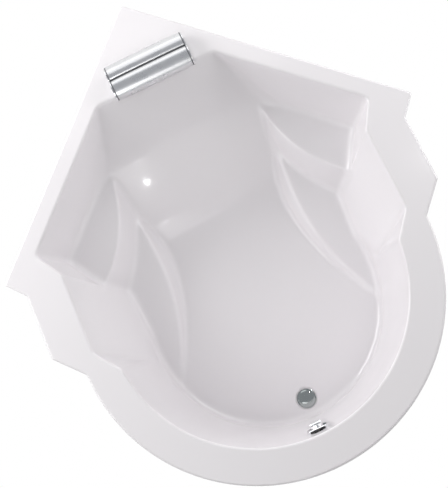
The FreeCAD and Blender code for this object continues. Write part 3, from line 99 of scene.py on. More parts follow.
class Nodes:
    """A node tree, with a short way to add nodes to it."""

    def __init__(self, tree):
        self.tree = tree

    def node(self, kind, settings, inputs, output=0):
        """Add a node: its settings first, then the values or links of its sockets."""
        node = self.tree.nodes.new(kind)
        for key, value in settings.items():
            setattr(node, key, value)
        for key, value in inputs.items():
            if isinstance(value, Wire):
                self.tree.links.new(value.socket, node.inputs[key])
            else:
                node.inputs[key].default_value = value
        return Wire(self, node.outputs[output])

    def ray(self, *kinds):
        """One for the kinds of ray that are named, zero for the rest."""
        path = self.tree.nodes.new("ShaderNodeLightPath")
        wires = [Wire(self, path.outputs["Is %s Ray" % kind]) for kind in kinds]
        total = wires[0]
        for wire in wires[1:]:
            total = total.maths("MAXIMUM", total, wire)
        return total

    def mix(self, factor, dark, light):
        """A colour between two, by a wire from 0 to 1."""
        node = self.tree.nodes.new("ShaderNodeMix")
        node.data_type = "RGBA"
        self.tree.links.new(factor.socket, node.inputs["Factor"])
        node.inputs[COLOUR_A].default_value = (*dark, 1.0)
        node.inputs[COLOUR_B].default_value = (*light, 1.0)
        return Wire(self, node.outputs[COLOUR_RESULT])


# %% a material with one Principled shader
class Finish(Nodes):
    """A material whose numbers and wires go straight to its shader's sockets."""

    def __init__(self, name, **sockets):
        self.material = bpy.data.materials.new(name)
        self.material.use_nodes = True
        super().__init__(self.material.node_tree)
        self.shader = self.tree.nodes["Principled BSDF"]
        for key, value in sockets.items():
            self.feed(key.replace("_", " "), value)

    def feed(self, name, value):
        """Set a shader socket to a number, or link a wire to it."""
        socket = self.shader.inputs[name]
        if isinstance(value, Wire):
            self.tree.links.new(value.socket, socket)
        elif socket.type == "RGBA" and len(value) == 3:
            socket.default_value = (*value, 1.0)
        else:
            socket.default_value = value

    def place(self):
        """Object coordinates, in metres."""
        return self.node("ShaderNodeTexCoord", {}, {}, "Object")

    def noise(self, scale, detail=3.0, roughness=0.5, where=None):
        """Soft noise from 0 to 1. The scale is in waves per metre."""
        inputs = {"Vector": where or self.place(), "Scale": scale, "Detail": detail,
                  "Roughness": roughness}
        return self.node("ShaderNodeTexNoise", {}, inputs, "Fac")

    def cells(self, scale):
        """Flat cells, each with a value of its own from 0 to 1."""
        inputs = {"Vector": self.place(), "Scale": scale}
        colours = self.node("ShaderNodeTexVoronoi", {}, inputs, "Color")
        return self.node("ShaderNodeSeparateColor", {}, {"Color": colours})

    def bump(self, height, distance, strength=1.0):
        """Small relief: height is a wire from 0 to 1, distance is its depth in metres."""
        inputs = {"Height": height, "Distance": distance, "Strength": strength}
        self.feed("Normal", self.node("ShaderNodeBump", {}, inputs))


print("shader helpers ready")

# %% [markdown]
# ## Finishes
#
# Cast acrylic is a clear skin over white, so it is glossy with a soft look
# underneath: a low roughness, a slight wander in the gloss from handling, and
# a very faint waviness that comes from drawing the hot sheet over a mould.
# The waviness is what breaks long highlights on a real bath.

# %% white acrylic
acrylic = Finish("white_acrylic", Base_Color=(0.884, 0.860, 0.880), Roughness=0.14, IOR=1.49,
                 Coat_Weight=0.3, Coat_Roughness=0.05)
cloud = acrylic.noise(scale=1.7, detail=2.0)
acrylic.feed("Base Color", acrylic.mix(cloud, (0.876, 0.851, 0.871), (0.894, 0.869, 0.889)))
acrylic.feed("Roughness", 0.13 + 0.08 * acrylic.noise(scale=9.0, detail=4.0))
acrylic.bump(acrylic.noise(scale=6.5, detail=1.5, roughness=0.4), distance=0.0007)
print("finish:", acrylic.material.name)

# %% [markdown]
# The underside is a different material: glass fibre laminate sprayed on the
# back of the sheet. It is matt and visibly fibrous.

# %% laminate on the back
laminate = Finish("glass_fibre_laminate", Base_Color=(0.72, 0.71, 0.66), Roughness=0.62)
fibres = laminate.noise(scale=140.0, detail=6.0, roughness=0.75)
laminate.feed("Base Color", laminate.mix(fibres, (0.60, 0.59, 0.53), (0.80, 0.79, 0.74)))
laminate.feed("Roughness", 0.5 + 0.25 * fibres)
laminate.bump(fibres, distance=0.0009)
print("finish:", laminate.material.name)

# %% [markdown]
# Chrome needs almost nothing but a metal with a low roughness: what makes it
# look right is what it reflects. A trace of fine noise in the roughness stands
# for water marks. The plug and its flange look darker: their chrome has a darker
# base colour, which is a painted reflection of the dim room over them.

# %% chrome
chrome = Finish("bright_chrome", Base_Color=(0.80, 0.81, 0.82), Metallic=1.0, Roughness=0.06)
chrome.feed("Roughness", 0.045 + 0.06 * chrome.noise(scale=160.0, detail=4.0, roughness=0.6))
# painted reflection: a darker copy of chrome for the plug and flange, standing for the dim room
# they mirror
shaded_chrome = Finish("chrome_painted_darker", Base_Color=(0.46, 0.49, 0.48), Metallic=1.0, Roughness=0.1)
shaded_chrome.feed("Roughness", 0.06 + 0.1 * shaded_chrome.noise(scale=120.0, detail=4.0, roughness=0.6))
print("finishes:", chrome.material.name, shaded_chrome.material.name)

# %% [markdown]
# The frame under the bath is galvanised sheet steel. Zinc grows in flat
# crystals, which show as pale and dark patches, so a Voronoi pattern drives
# the colour and the gloss a little.

# %% galvanised and plated steel
galvanised = Finish("galvanised_steel", Base_Color=(0.5, 0.51, 0.52), Metallic=0.85,
                    Roughness=0.42)
grain = galvanised.cells(scale=95.0)
galvanised.feed("Base Color", galvanised.mix(grain, (0.42, 0.43, 0.45), (0.60, 0.61, 0.62)))
galvanised.feed("Roughness", 0.34 + 0.2 * grain)
zinc = Finish("zinc_plated_steel", Base_Color=(0.62, 0.62, 0.60), Metallic=1.0, Roughness=0.3)
zinc.feed("Roughness", 0.24 + 0.14 * zinc.noise(scale=220.0))
print("finishes:", galvanised.material.name, zinc.material.name)

# %% [markdown]
# The base board is chipboard: small pressed chips in several browns. Voronoi
# cells give the chips, each with a tone of its own. The strips under the rim
# are planed softwood, with a long grain.

# %% chipboard and softwood
chipboard = Finish("chipboard", Base_Color=(0.52, 0.38, 0.22), Roughness=0.78)
chip = chipboard.cells(scale=190.0)
chipboard.feed("Base Color", chipboard.mix(chip, (0.36, 0.25, 0.13), (0.66, 0.50, 0.31)))
chipboard.bump(chip, distance=0.0004)
softwood = Finish("planed_softwood", Base_Color=(0.6, 0.42, 0.22), Roughness=0.6)
stretched = {"Vector": softwood.place(), "Scale": (9.0, 9.0, 60.0)}
long_grain = softwood.node("ShaderNodeMapping", {}, stretched)
wood_rings = softwood.noise(scale=4.0, detail=5.0, roughness=0.6, where=long_grain)
softwood.feed("Base Color", softwood.mix(wood_rings, (0.46, 0.30, 0.14), (0.74, 0.56, 0.33)))
softwood.bump(wood_rings, distance=0.0003)
print("finishes:", chipboard.material.name, softwood.material.name)

# %% [markdown]
# Moulded plastics differ in grain and tone: the waste is white polypropylene,
# its nuts are black, the feet are black nylon, and the cable has a soft black
# sheath. The seals and suction cups are rubber. One function makes them all,
# because only the colour, the gloss and the depth of the moulded grain change.

# %% moulded plastics and rubber
def moulded(name, colour, roughness, grain_depth):
    """A plastic with a fine moulded grain."""
    finish = Finish(name, Base_Color=colour, Roughness=roughness)
    fine = finish.noise(scale=900.0, detail=2.0, roughness=0.7)
    tone = finish.noise(scale=14.0)
    darker = tuple(c * 0.93 for c in colour)
    lighter = tuple(c * 1.04 for c in colour)
    finish.feed("Base Color", finish.mix(tone, darker, lighter))
    finish.feed("Roughness", roughness - 0.06 + 0.12 * tone)
    finish.bump(fine, grain_depth)
    return finish


white_plastic = moulded("white_polypropylene", (0.74, 0.74, 0.72), 0.42, 0.00008)
black_plastic = moulded("black_polypropylene", (0.035, 0.035, 0.038), 0.46, 0.0001)
foot_nylon = moulded("black_nylon", (0.045, 0.045, 0.05), 0.55, 0.00014)
hose_plastic = moulded("grey_hose", (0.55, 0.55, 0.53), 0.5, 0.00006)
seal_rubber = moulded("seal_rubber", (0.05, 0.05, 0.055), 0.7, 0.00012)
cup_rubber = moulded("soft_clear_rubber", (0.62, 0.64, 0.65), 0.25, 0.00003)
print("plastics: 6")

# %% [markdown]
# ## The shape of the shell
#
# A bath like this is drawn down over a mould, so every inside wall leans a
# little, and from above the whole inside can be seen at once. That allows a
# neat way to model it: over each point of the plan there is exactly one depth.
#
# The depth is not typed in. Each wall is described by a signed distance, which
# is positive inside the hollow, and the walls are joined with a rounding
# radius, as a mould maker blends them. The sizes are those of the measured
# model, in millimetres: `u` runs across, `v` from the wall corner to the foot.

# %% sizes of the shell
MM_PER_M = 1000.0
room_side, rim_height, bath_depth = 1400.0, 580.0, 415.0
foot_radius, rim_width_foot, corner_radius = 603.0, 113.0, 10.0
foot_v = (room_side - foot_radius) * math.sqrt(2.0)
inner_foot = foot_radius - rim_width_foot
middle_y = (foot_v + foot_radius + corner_radius * (math.sqrt(2.0) - 1.0)) / 2.0
drain_from_wall = 138.0
drain_v = foot_v + inner_foot - drain_from_wall
print("foot centre", round(foot_v, 1), "drain", round(drain_v, 1), "middle", round(middle_y, 1))

# %% the basin's faces on one side
# corners of the basin's edge in the rim, from the wall corner to the foot end
inner_corner, arm_tip = (0.0, 87.7), (613.0, 700.7)
side_head, side_foot, facet_foot = (555.0, 798.0), (555.0, 1088.0), (487.7, 1174.0)
sides_end_v = 1300.0

# degrees that each face leans back from upright
wall_lean, side_lean, foot_lean, arris_lean, ridge_lean = 11.5, 20.8, 10.0, 19.0, 25.0

# the arm shelf, and the circle that its inner edge follows
shelf_depth = 210.0
arris_u, arris_v, arris_radius = 798.0, 458.0, 501.0

# the long ridge: straight at first, then on a circle about the bend
ridge_u, ridge_depth = 265.0, 350.0
bend_u, bend_v = 1071.0, 760.0

# the hollow beside the seat: one down for every pan_run along
pan_v, pan_depth, pan_run = 575.0, 300.0, 6.0

# each part of the back slope: a place on it, its depth there, and its fall in degrees
upper_back, lower_back = (309.0, 0.0, 50.0), (465.0, 185.9, 40.0)

# each blend: its rounding radius, and the degrees that the two faces turn by
blends = {"end to side": (30.0, 31.0), "head to end": (22.0, 76.0), "side to facet": (40.0, 38.0),
          "sides to foot": (30.0, 38.0), "shelf to arris": (11.0, 71.0),
          "pan to ridge": (20.0, 68.0), "back to back": (300.0, 10.0),
          "back to floor": (250.0, 40.0), "floor to shelf": (22.0, 75.0),
          "floor to pan": (28.0, 65.0), "rim to basin": (8.0, 80.0)}

# where the walls meet what lies below: the radius grows from the rim down
corner_at_rim, corner_growth, corner_full_depth, corner_angle = 8.0, 22.0, 180.0, 80.0
print("blends:", len(blends))


# %% signed distances of walls, cones and slopes
def leaning(inside, d, degrees):
    """Distance inside a face that leans: its distance inside the edge, and the depth below it."""
    lean = math.radians(degrees)
    return inside * math.cos(lean) - d * math.sin(lean)


def wall(u, v, d, start, end, draft):
    """Distance inside a leaning wall whose rim edge runs from start to end."""
    du, dv = end[0] - start[0], end[1] - start[1]
    inside = ((v - start[1]) * du - (u - start[0]) * dv) / math.hypot(du, dv)
    return leaning(inside, d, draft)


def reach(radius, angle):
    """How far a blend reaches, for a rounding radius and the angle that it turns by."""
    return 4.0 * radius * (1.0 - math.cos(math.radians(angle) / 2.0))


def round_and(a, b, radius, angle):
    """Both hollows at once, with the crease between them rounded."""
    k = reach(radius, angle)
    return np.minimum(a, b) - np.maximum(k - np.abs(a - b), 0.0) ** 2 / (4.0 * k)


def round_or(a, b, radius, angle):
    """Either hollow, with the ridge between them rounded."""
    return -round_and(-a, -b, radius, angle)


def slope(v, d, start_v, start_d, angle):
    """Distance above a back slope that falls at an angle from level."""
    turn = math.radians(angle)
    return ((v - start_v) * math.tan(turn) + start_d - d) * math.cos(turn)


print("distance rules ready")

# %% [markdown]
# The hollow is built up as the eye reads it. First the steep walls from the
# rim: the two wall sides, the ends of the arm shelves, the sides and facets,
# and the cone of the foot end. Then what rises from below: the arm shelves
# with their curved inner edge, the lower hollows beside the seat with their
# long ridges, the back slope in two angles, and the floor.

# %% the hollow of the bath
def hollow(u, v, d):
    """Positive inside the bath, negative in its walls, near zero at the surface."""
    u = np.abs(u)
    head = wall(u, v, d, inner_corner, arm_tip, wall_lean)
    end = wall(u, v, d, arm_tip, side_head, wall_lean)
    side = wall(u, v, d, side_head, side_foot, side_lean)
    facet = wall(u, v, d, side_foot, facet_foot, wall_lean)
    sides = round_and(head, round_or(end, side, *blends["end to side"]), *blends["head to end"])
    sides = round_and(sides, facet, *blends["side to facet"])
    foot = leaning(inner_foot - np.hypot(u, v - foot_v), d, foot_lean)
    walls = round_or(np.minimum(sides, sides_end_v - v), foot, *blends["sides to foot"])
    from_arris = np.hypot(u - arris_u, v - arris_v) - arris_radius
    arris = leaning(from_arris, d - shelf_depth, arris_lean)
    shelf = round_or(shelf_depth - d, arris, *blends["shelf to arris"])
    line = bend_u - np.where(v > bend_v, np.hypot(u - bend_u, v - bend_v), bend_u - u)
    ridge = leaning(ridge_u - line, d - ridge_depth, ridge_lean)
    pan_tilt = math.atan(1.0 / pan_run)
    pan = (pan_depth + (v - pan_v) / pan_run - d) * math.cos(pan_tilt)
    seat_side = round_or(pan, ridge, *blends["pan to ridge"])
    back = round_and(slope(v, d, *upper_back), slope(v, d, *lower_back), *blends["back to back"])
    low = round_and(back, bath_depth - d, *blends["back to floor"])
    low = round_and(low, shelf, *blends["floor to shelf"])
    low = round_and(low, seat_side, *blends["floor to pan"])
    corner_round = corner_at_rim + corner_growth * np.clip(d / corner_full_depth, 0.0, 1.0)
    return round_and(walls, low, corner_round, corner_angle)


def surface_depth(u, v, shift=0.0, top=0.0):
    """Depth below the rim of the surface over plan points, by halving an interval."""
    below_floor, halvings = 12.0, 34
    low, high = np.full(u.shape, top), np.full(u.shape, bath_depth + below_floor)
    for _ in range(halvings):
        middle = (low + high) / 2.0
        basin = round_or(hollow(u, v, middle) + shift, top - middle, *blends["rim to basin"])
        low, high = np.where(basin > 0.0, middle, low), np.where(basin > 0.0, high, middle)
    return (low + high) / 2.0


test_v = np.array([200.0, 400.0, 600.0, 900.0, drain_v])
print("depths down the middle:", np.round(surface_depth(np.zeros(5), test_v), 1))

# %% [markdown]
# ## The shell as a mesh
#
# The rim's outer outline sets the columns of the mesh: every column runs from
# a centre point on the floor, up the nearest wall and out over the rim. Along
# a column the points are packed closer where the surface turns, so flat areas
# stay light and the rounded edges stay smooth.

# %% the rim's outer outline
def rounded(corners, radius, steps):
    """Points of an outline whose corners are rounded with an arc."""
    points = []
    for before, corner, after in zip(corners, corners[1:], corners[2:]):
        before, corner, after = Vector(before), Vector(corner), Vector(after)
        back, ahead = (before - corner).normalized(), (after - corner).normalized()
        half = back.angle(ahead) / 2.0
        middle = corner + (back + ahead).normalized() * (radius / math.sin(half))
        cut = radius / math.tan(half)
        first, last = corner + back * cut - middle, corner + ahead * cut - middle
        turn = first.angle_signed(last)
        for step in range(steps + 1):
            angle = -turn * step / steps
            x = first.x * math.cos(angle) - first.y * math.sin(angle)
            y = first.x * math.sin(angle) + first.y * math.cos(angle)
            points.append((middle.x + x, middle.y + y))
    return points


def divided(points, spacing):
    """The same outline with every long run divided to about a spacing."""
    result = []
    for (u0, v0), (u1, v1) in zip(points, points[1:]):
        count = max(1, round(math.hypot(u1 - u0, v1 - v0) / spacing))
        result += [(u0 + (u1 - u0) * i / count, v0 + (v1 - v0) * i / count)
                   for i in range(count)]
    return result + [points[-1]]


wall_edge, column_spacing, corner_steps = 1057.0, 8.4, 6
side_u, side_from_v, side_to_v, shoulder_v = 690.0, 815.0, 1045.0, 1141.0
arc_steps, arc_joint = 120, 6
wall_tip = wall_edge / math.sqrt(2.0)
shoulder = (math.sqrt(foot_radius ** 2 - (shoulder_v - foot_v) ** 2), shoulder_v)
arc_start = math.atan2(shoulder_v - foot_v, shoulder[0])
foot_arc = [(foot_radius * math.cos(a), foot_v + foot_radius * math.sin(a))
            for a in np.linspace(arc_start, math.pi / 2.0, arc_steps)]


def half_outline():
    """The right half of the outline, from the wall corner to the foot."""
    # the first corner is the left wall's tip, so that the wall corner is rounded too
    corners = [(-wall_tip, wall_tip), (0.0, 0.0), (wall_tip, wall_tip), (side_u, side_from_v),
               (side_u, side_to_v), shoulder, foot_arc[arc_joint]]
    turned = [p for p in rounded(corners, corner_radius, corner_steps) if p[0] >= -1e-6]
    return divided(turned + foot_arc[arc_joint + 1:], column_spacing)


right_half = np.array(half_outline())
print("outline points on one side:", len(right_half))

# %% columns and rings
centre_v = 950.0

# the next ring comes after so many millimetres of flat surface, or so much turning
flat_step, turn_step, ring_smoothings = 11.0, math.radians(7.0), 3


def columns():
    """Angle and length of each column, all the way round."""
    left_half = right_half[::-1][1:-1] * (-1.0, 1.0)
    loop = np.concatenate([right_half, left_half])
    across, along = loop[:, 0], loop[:, 1] - centre_v
    return np.arctan2(along, across), np.hypot(across, along)


def plan_points(angle, radius):
    """Plan points at a radius from the centre point, along each column."""
    return radius * np.cos(angle), centre_v + radius * np.sin(angle)


def in_metres(u, v, depth):
    """Places in the frame for plan points and depths in millimetres."""
    return np.stack([u, middle_y - v, rim_height - depth], axis=-1) / MM_PER_M


def profile_radii(angle, length, rings, shift, top, samples):
    """Where the rings of each column lie, packed by the turning of the surface."""
    share = np.linspace(0.0, 1.0, samples)
    radius = share[None, :] * length[:, None]
    depth = surface_depth(*plan_points(angle[:, None], radius), shift, top)
    run, fall = np.diff(radius, axis=1), np.diff(depth, axis=1)
    heading = np.arctan2(fall, run)
    turning = np.abs(np.diff(heading, axis=1, prepend=heading[:, :1]))
    measure = np.hypot(run, fall) / flat_step + turning / turn_step
    total = np.concatenate([np.zeros((len(angle), 1)), np.cumsum(measure, axis=1)], axis=1)
    total /= total[:, -1:]
    wanted = np.linspace(0.0, 1.0, rings + 1)[1:]
    result = np.array([np.interp(wanted, t, share) for t in total])
    for _ in range(ring_smoothings):
        result = (np.roll(result, 1, axis=0) + 2.0 * result + np.roll(result, -1, axis=0)) / 4.0
    return result * length[:, None]


def sheet_rings(angle, length, rings, shift, top, samples):
    """Rings of points on the surface of one side of the shell, in metres."""
    radius = profile_radii(angle, length, rings, shift, top, samples)
    u, v = plan_points(angle[:, None], radius)
    return in_metres(u, v, surface_depth(u, v, shift, top)).transpose(1, 0, 2)


print("mesh rules ready")

# %% [markdown]
# The upper face is acrylic: floor, walls, rim, a rounded edge and the
# turned-down lip. The lower face is the laminate behind it, five millimetres
# away, on a coarser grid. The two meet at the bottom of the lip, so the whole
# shell is one closed skin.

# %% the closed shell
floor_z = rim_height - bath_depth
lip_drop, lip_round, wall_thick = 38.0, 8.0, 5.0

# the rings worked out from the depth stop this far short of the rounded edge
edge_gap = 1.0
upper_rings, upper_samples = 116, 900
lower_rings, lower_samples = 66, 420


def edge_rings(angle, length, stops):
    """Rings near the rim's edge, each at a distance inside the outline and a depth."""
    rows = []
    for inside, depth in stops:
        u, v = plan_points(angle, length - inside)
        rows.append(in_metres(u, v, np.full(u.shape, depth)))
    return rows


angle, length = columns()
turns = [math.radians(a) for a in range(0, 91, 15)]
rounded_edge = [(lip_round * (1.0 - math.sin(a)), lip_round * (1.0 - math.cos(a))) for a in turns]
lip = [(0.0, 14.0), (0.0, 34.0), (0.0, lip_drop)]
upper = list(sheet_rings(angle, length - lip_round - edge_gap, upper_rings, 0.0, 0.0,
                         upper_samples))
upper += edge_rings(angle, length, rounded_edge + lip)
back_angle, back_length = angle[::2], length[::2]
lower = list(sheet_rings(back_angle, back_length - wall_thick - edge_gap, lower_rings,
                         wall_thick, wall_thick, lower_samples))
lower += edge_rings(back_angle, back_length, [(wall_thick, wall_thick),
                                              (wall_thick, lip_drop * 0.5), (wall_thick, lip_drop)])
print("columns", len(angle), "rings", len(upper), "and", len(lower))


def skin_faces(rows, first, centre, flip):
    """Faces of a stack of rings with a centre point."""
    count = len(rows[0])
    faces = [(centre, first + k, first + (k + 1) % count) for k in range(count)]
    for ring in range(len(rows) - 1):
        a = first + ring * count
        faces += [(a + k, a + count + k, a + count + (k + 1) % count, a + (k + 1) % count)
                  for k in range(count)]
    return [face[::-1] for face in faces] if flip else faces


def shell_mesh():
    """Both skins, joined at the bottom of the lip."""
    floor_top = (0.0, (middle_y - centre_v) / MM_PER_M, floor_z / MM_PER_M)
    floor_back = (0.0, floor_top[1], floor_top[2] - wall_thick / MM_PER_M)
    points = [floor_top] + [tuple(p) for row in upper for p in row]
    back_centre = len(points)
    points += [floor_back] + [tuple(p) for row in lower for p in row]
    many, few = len(angle), len(back_angle)
    top_faces = skin_faces(upper, 1, 0, True)
    back_faces = skin_faces(lower, back_centre + 1, back_centre, False)
    outer, inner = back_centre - many, len(points) - few
    for k in range(few):
        o0, o1, o2 = (outer + (2 * k + s) % many for s in range(3))
        i0, i1 = inner + k, inner + (k + 1) % few
        back_faces += [(o0, i0, o1), (o1, i0, i1, o2)]
    mesh = bpy.data.meshes.new("bath_shell_skin")
    mesh.from_pydata(points, [], top_faces + back_faces)
    mesh.materials.append(acrylic.material)
    mesh.materials.append(laminate.material)
    slots = np.zeros(len(mesh.polygons), dtype=np.int32)
    slots[len(top_faces):] = 1
    mesh.polygons.foreach_set("material_index", slots)
    mesh.polygons.foreach_set("use_smooth", np.ones(len(mesh.polygons), dtype=bool))
    mesh.update()
    return mesh


shell = bpy.data.objects.new("bath_shell_skin", shell_mesh())
bpy.context.collection.objects.link(shell)
print("shell points", len(shell.data.vertices), "faces", len(shell.data.polygons))

# %% [markdown]
# The drain and the overflow are cut afterwards, as they are in the workshop: a
# shallow round seat first, then the hole through it. Both cutters are turned
# profiles, so one function makes them.

# %% cut the drain and the overflow
def turned_cutter(name, profile, origin, axis, steps):
    """A solid turned about an axis, from (radius, height) pairs in millimetres."""
    mesh = bpy.data.meshes.new(name)
    bm = bmesh.new()
    middle = Vector(origin) / MM_PER_M
    turn = Vector((0, 0, 1)).rotation_difference(Vector(axis)).to_matrix()
    around = np.linspace(0.0, 2.0 * math.pi, steps, endpoint=False)
    rings = []
    for radius, height in profile:
        ring = [Vector((radius * math.cos(a), radius * math.sin(a), height)) for a in around]
        rings.append([bm.verts.new(middle + turn @ point / MM_PER_M) for point in ring])
    for low, high in zip(rings, rings[1:]):
        for k in range(steps):
            bm.faces.new((low[k], low[(k + 1) % steps], high[(k + 1) % steps], high[k]))
    bm.faces.new(rings[0][::-1])
    bm.faces.new(rings[-1])
    bm.to_mesh(mesh)
    bm.free()
    cutter = bpy.data.objects.new(name, mesh)
    bpy.context.collection.objects.link(cutter)
    return cutter


# the cutters' profiles, as radius and height
drain_seat = [(26.0, -9.0), (26.0, -2.0), (37.6, -2.0), (38.4, 0.4), (38.4, 5.0)]
overflow_hole = [(26.0, -14.0), (26.0, 12.0)]

drain = (0.0, middle_y - drain_v, floor_z)
overflow_depth, lean = 75.0, math.radians(foot_lean)
overflow_v = foot_v + inner_foot - overflow_depth * math.tan(lean)
overflow = (0.0, middle_y - overflow_v, rim_height - overflow_depth)
overflow_axis = (0.0, math.cos(lean), math.sin(lean))
cutters = [turned_cutter("drain_cutter", drain_seat, drain, (0, 0, 1), steps=96),
           turned_cutter("overflow_cutter", overflow_hole, overflow, overflow_axis, steps=48)]
for cutter in cutters:
    cut = shell.modifiers.new(cutter.name, "BOOLEAN")
    cut.operation, cut.solver, cut.object = "DIFFERENCE", "EXACT", cutter
evaluated = shell.evaluated_get(bpy.context.evaluated_depsgraph_get())
cut_mesh = bpy.data.meshes.new_from_object(evaluated)
shell.modifiers.clear()
shell.data = cut_mesh
for cutter in cutters:
    bpy.data.objects.remove(cutter)
print("after cutting:", len(shell.data.polygons), "faces")
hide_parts("bath_shell")
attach(shell, "bath")

# %% [markdown]
# ## Head roll
#
# The head roll is a soft foam body in a shiny silver skin. Its section has two
# lobes with a weld along the valley between them, and the front lobe hangs a
# little over the basin's edge. The skin is made from one section curve, drawn
# out between the two end caps, pulled in at its ends and pressed down along the
# valley, and a subdivision surface gives the foam its roundness. The weld lines
# in the valley and at the ends are a dull dark grey, which is also painted
# shade: it stands for the shade in the valley's crease and in the gap at the
# end caps.

# %% the roll's section
roll_half, roll_back, roll_width = 143.0, 200.0, 130.0
cup_height, carrier_thick = 6.0, 3.0
roll_base = rim_height + cup_height + carrier_thick

# places round the section: share of the width, and height above the carrier plate
section = [(0.015, 3.0), (0.000, 9.0), (0.014, 17.0), (0.050, 24.5), (0.110, 30.0), (0.185, 34.0),
           (0.265, 36.0), (0.345, 36.0), (0.415, 33.2), (0.455, 29.4), (0.476, 25.5),
           (0.497, 29.4), (0.540, 34.6), (0.600, 37.6), (0.680, 37.4), (0.770, 34.2),
           (0.850, 29.2), (0.915, 23.0), (0.965, 14.5), (0.993, 5.0), (1.000, -3.0),
           (0.985, -9.0), (0.945, -11.6), (0.900, -9.0), (0.865, -2.0), (0.840, 0.6),
           (0.780, 0.2), (0.600, 0.2), (0.400, 0.2), (0.200, 0.2), (0.060, 0.6)]
valley_at, valley_press, valley_crease = 10, 1.6, 0.55
# the faces each side of the valley take the dull weld grey, which also paints the crease's shade
seam_shade_faces = (valley_at - 1, valley_at)

# places along the roll, as shares of its half length: the last two bound the end weld
stations = [0.08, 0.24, 0.42, 0.6, 0.76, 0.88, 0.945, 0.972, 1.0]
stations = [-station for station in reversed(stations)] + stations

# the ends are pulled in towards the middle of the foam
foam_middle_v, foam_middle_z = roll_back + roll_width * 0.5, 16.0
end_pull, end_power, end_inset = 2.2, 6, 0.006
print("points in the section:", len(section), "stations:", len(stations))


def roll_skin():
    """The skin as rings of points from one end to the other, closed by crowned ends."""
    bm = bmesh.new()
    rings = []
    for station in stations:
        tight = end_pull * abs(station) ** end_power
        ring = []
        for index, (share, z) in enumerate(section):
            v = roll_back + roll_width * share
            pull = tight / math.hypot(v - foam_middle_v, z - foam_middle_z)
            v, z = v + (foam_middle_v - v) * pull, z + (foam_middle_z - z) * pull
            if index == valley_at:
                z -= valley_press
            place = (station * roll_half, middle_y - v, roll_base + z)
            ring.append(bm.verts.new([c / MM_PER_M for c in place]))
        rings.append(ring)
    count = len(section)
    for row, (low, high) in enumerate(zip(rings, rings[1:])):
        end_weld_with_shade = row in (0, len(rings) - 2)
        for k in range(count):
            face = bm.faces.new((low[k], low[(k + 1) % count], high[(k + 1) % count], high[k]))
            # weld rows and valley faces get the dark grey that also paints shade in the crease and
            # at the end gaps
            face.material_index = 1 if end_weld_with_shade or k in seam_shade_faces else 0
    for ring in (rings[0], rings[-1]):
        end = bm.faces.new(ring)
        end.material_index = 1
        bmesh.ops.inset_individual(bm, faces=[end], thickness=end_inset, depth=0.0)
    bmesh.ops.recalc_face_normals(bm, faces=bm.faces)
    crease = bm.edges.layers.float.new("crease_edge")
    for low, high in zip(rings, rings[1:]):
        bm.edges.get((low[valley_at], high[valley_at]))[crease] = valley_crease
    mesh = bpy.data.meshes.new("head_roll_skin")
    bm.to_mesh(mesh)
    bm.free()
    return mesh


print("roll rule ready")

# %% silver skin, and weld lines with painted shade
roll_silver = Finish("silver_skin", Base_Color=(0.76, 0.77, 0.78), Metallic=0.95, Roughness=0.2)
leather = roll_silver.node("ShaderNodeTexVoronoi", {"feature": "DISTANCE_TO_EDGE"},
                           {"Vector": roll_silver.place(), "Scale": 620.0}, "Distance")
wear = roll_silver.noise(scale=22.0)
roll_silver.feed("Base Color", roll_silver.mix(wear, (0.71, 0.72, 0.74), (0.80, 0.80, 0.80)))
roll_silver.feed("Roughness", 0.22 + 0.12 * wear)
roll_silver.bump(leather, distance=0.00003, strength=0.2)
# painted shade: the dark weld grey also stands for the shade in the valley and at the end caps
weld_and_shade_grey = Finish("weld_line_painted_shade", Base_Color=(0.20, 0.20, 0.21), Metallic=0.4, Roughness=0.45)
weld_and_shade_grey.feed("Roughness", 0.4 + 0.1 * weld_and_shade_grey.noise(scale=60.0, detail=2.0))
print("finishes:", roll_silver.material.name, weld_and_shade_grey.material.name)

# %% the head roll
roll = bpy.data.objects.new("head_roll_skin", roll_skin())
bpy.context.collection.objects.link(roll)
for finish in (roll_silver, weld_and_shade_grey):
    roll.data.materials.append(finish.material)
soften = roll.modifiers.new("foam", "SUBSURF")
soften.levels = soften.render_levels = 3
roll.data.polygons.foreach_set("use_smooth", [True] * len(roll.data.polygons))
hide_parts("headrest_cushion")
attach(roll, "head_roll")
print("roll skin:", len(roll.data.polygons), "faces before subdivision")

# %% [markdown]
# ## Finishes on the measured parts
#
# The rigid parts keep the measured model's own meshes and only get a finish.
# The record names a material slot for every node, so the finishes are handed
# out by slot, with the few exceptions named after it.

# %% hand out the finishes
by_slot = {"acrylic": acrylic, "wood": softwood, "zinc": zinc, "rail_paint": galvanised,
           "pad_black": foot_nylon, "seal": seal_rubber, "chrome": chrome,
           "waste_plastic": white_plastic, "waste_black": black_plastic, "hose": hose_plastic,
           "cable": black_plastic, "roll": chrome, "cup": cup_rubber}
by_node = {"base_board": chipboard, "plug": shaded_chrome, "waste_flange": shaded_chrome}
slot_of = {part["node"]: part["material_slot"] for part in frame["record"]["subparts"]}
for node, part in frame["nodes"].items():
    finish = by_node.get(node, by_slot[slot_of[node]])
    for slot in part.material_slots:
        slot.material = finish.material
print("nodes with a finish:", len(frame["nodes"]))

# %% [markdown]
# ## Floor and backdrop
#
# The photograph shows the bath on plain white, without a shadow. Rays from the
# camera, and those that metal and glass send on, see the floor as plain white.
# For all other rays it is pale and matt, and throws light up at the underside.

# %% floor
def white_where_seen():
    """A pale floor that the camera and mirrors see as white."""
    pale = Finish("studio_floor", Base_Color=(0.9, 0.9, 0.9), Roughness=0.9)
    white = pale.node("ShaderNodeEmission", {}, {"Color": (1.0, 1.0, 1.0, 1.0)})
    shaded = Wire(pale, pale.shader.outputs[0])
    rays = pale.ray("Camera", "Glossy", "Transmission")
    seen = pale.node("ShaderNodeMixShader", {}, {0: rays, 1: shaded, 2: white})
    pale.tree.links.new(seen.socket, pale.tree.nodes["Material Output"].inputs["Surface"])
    return pale.material


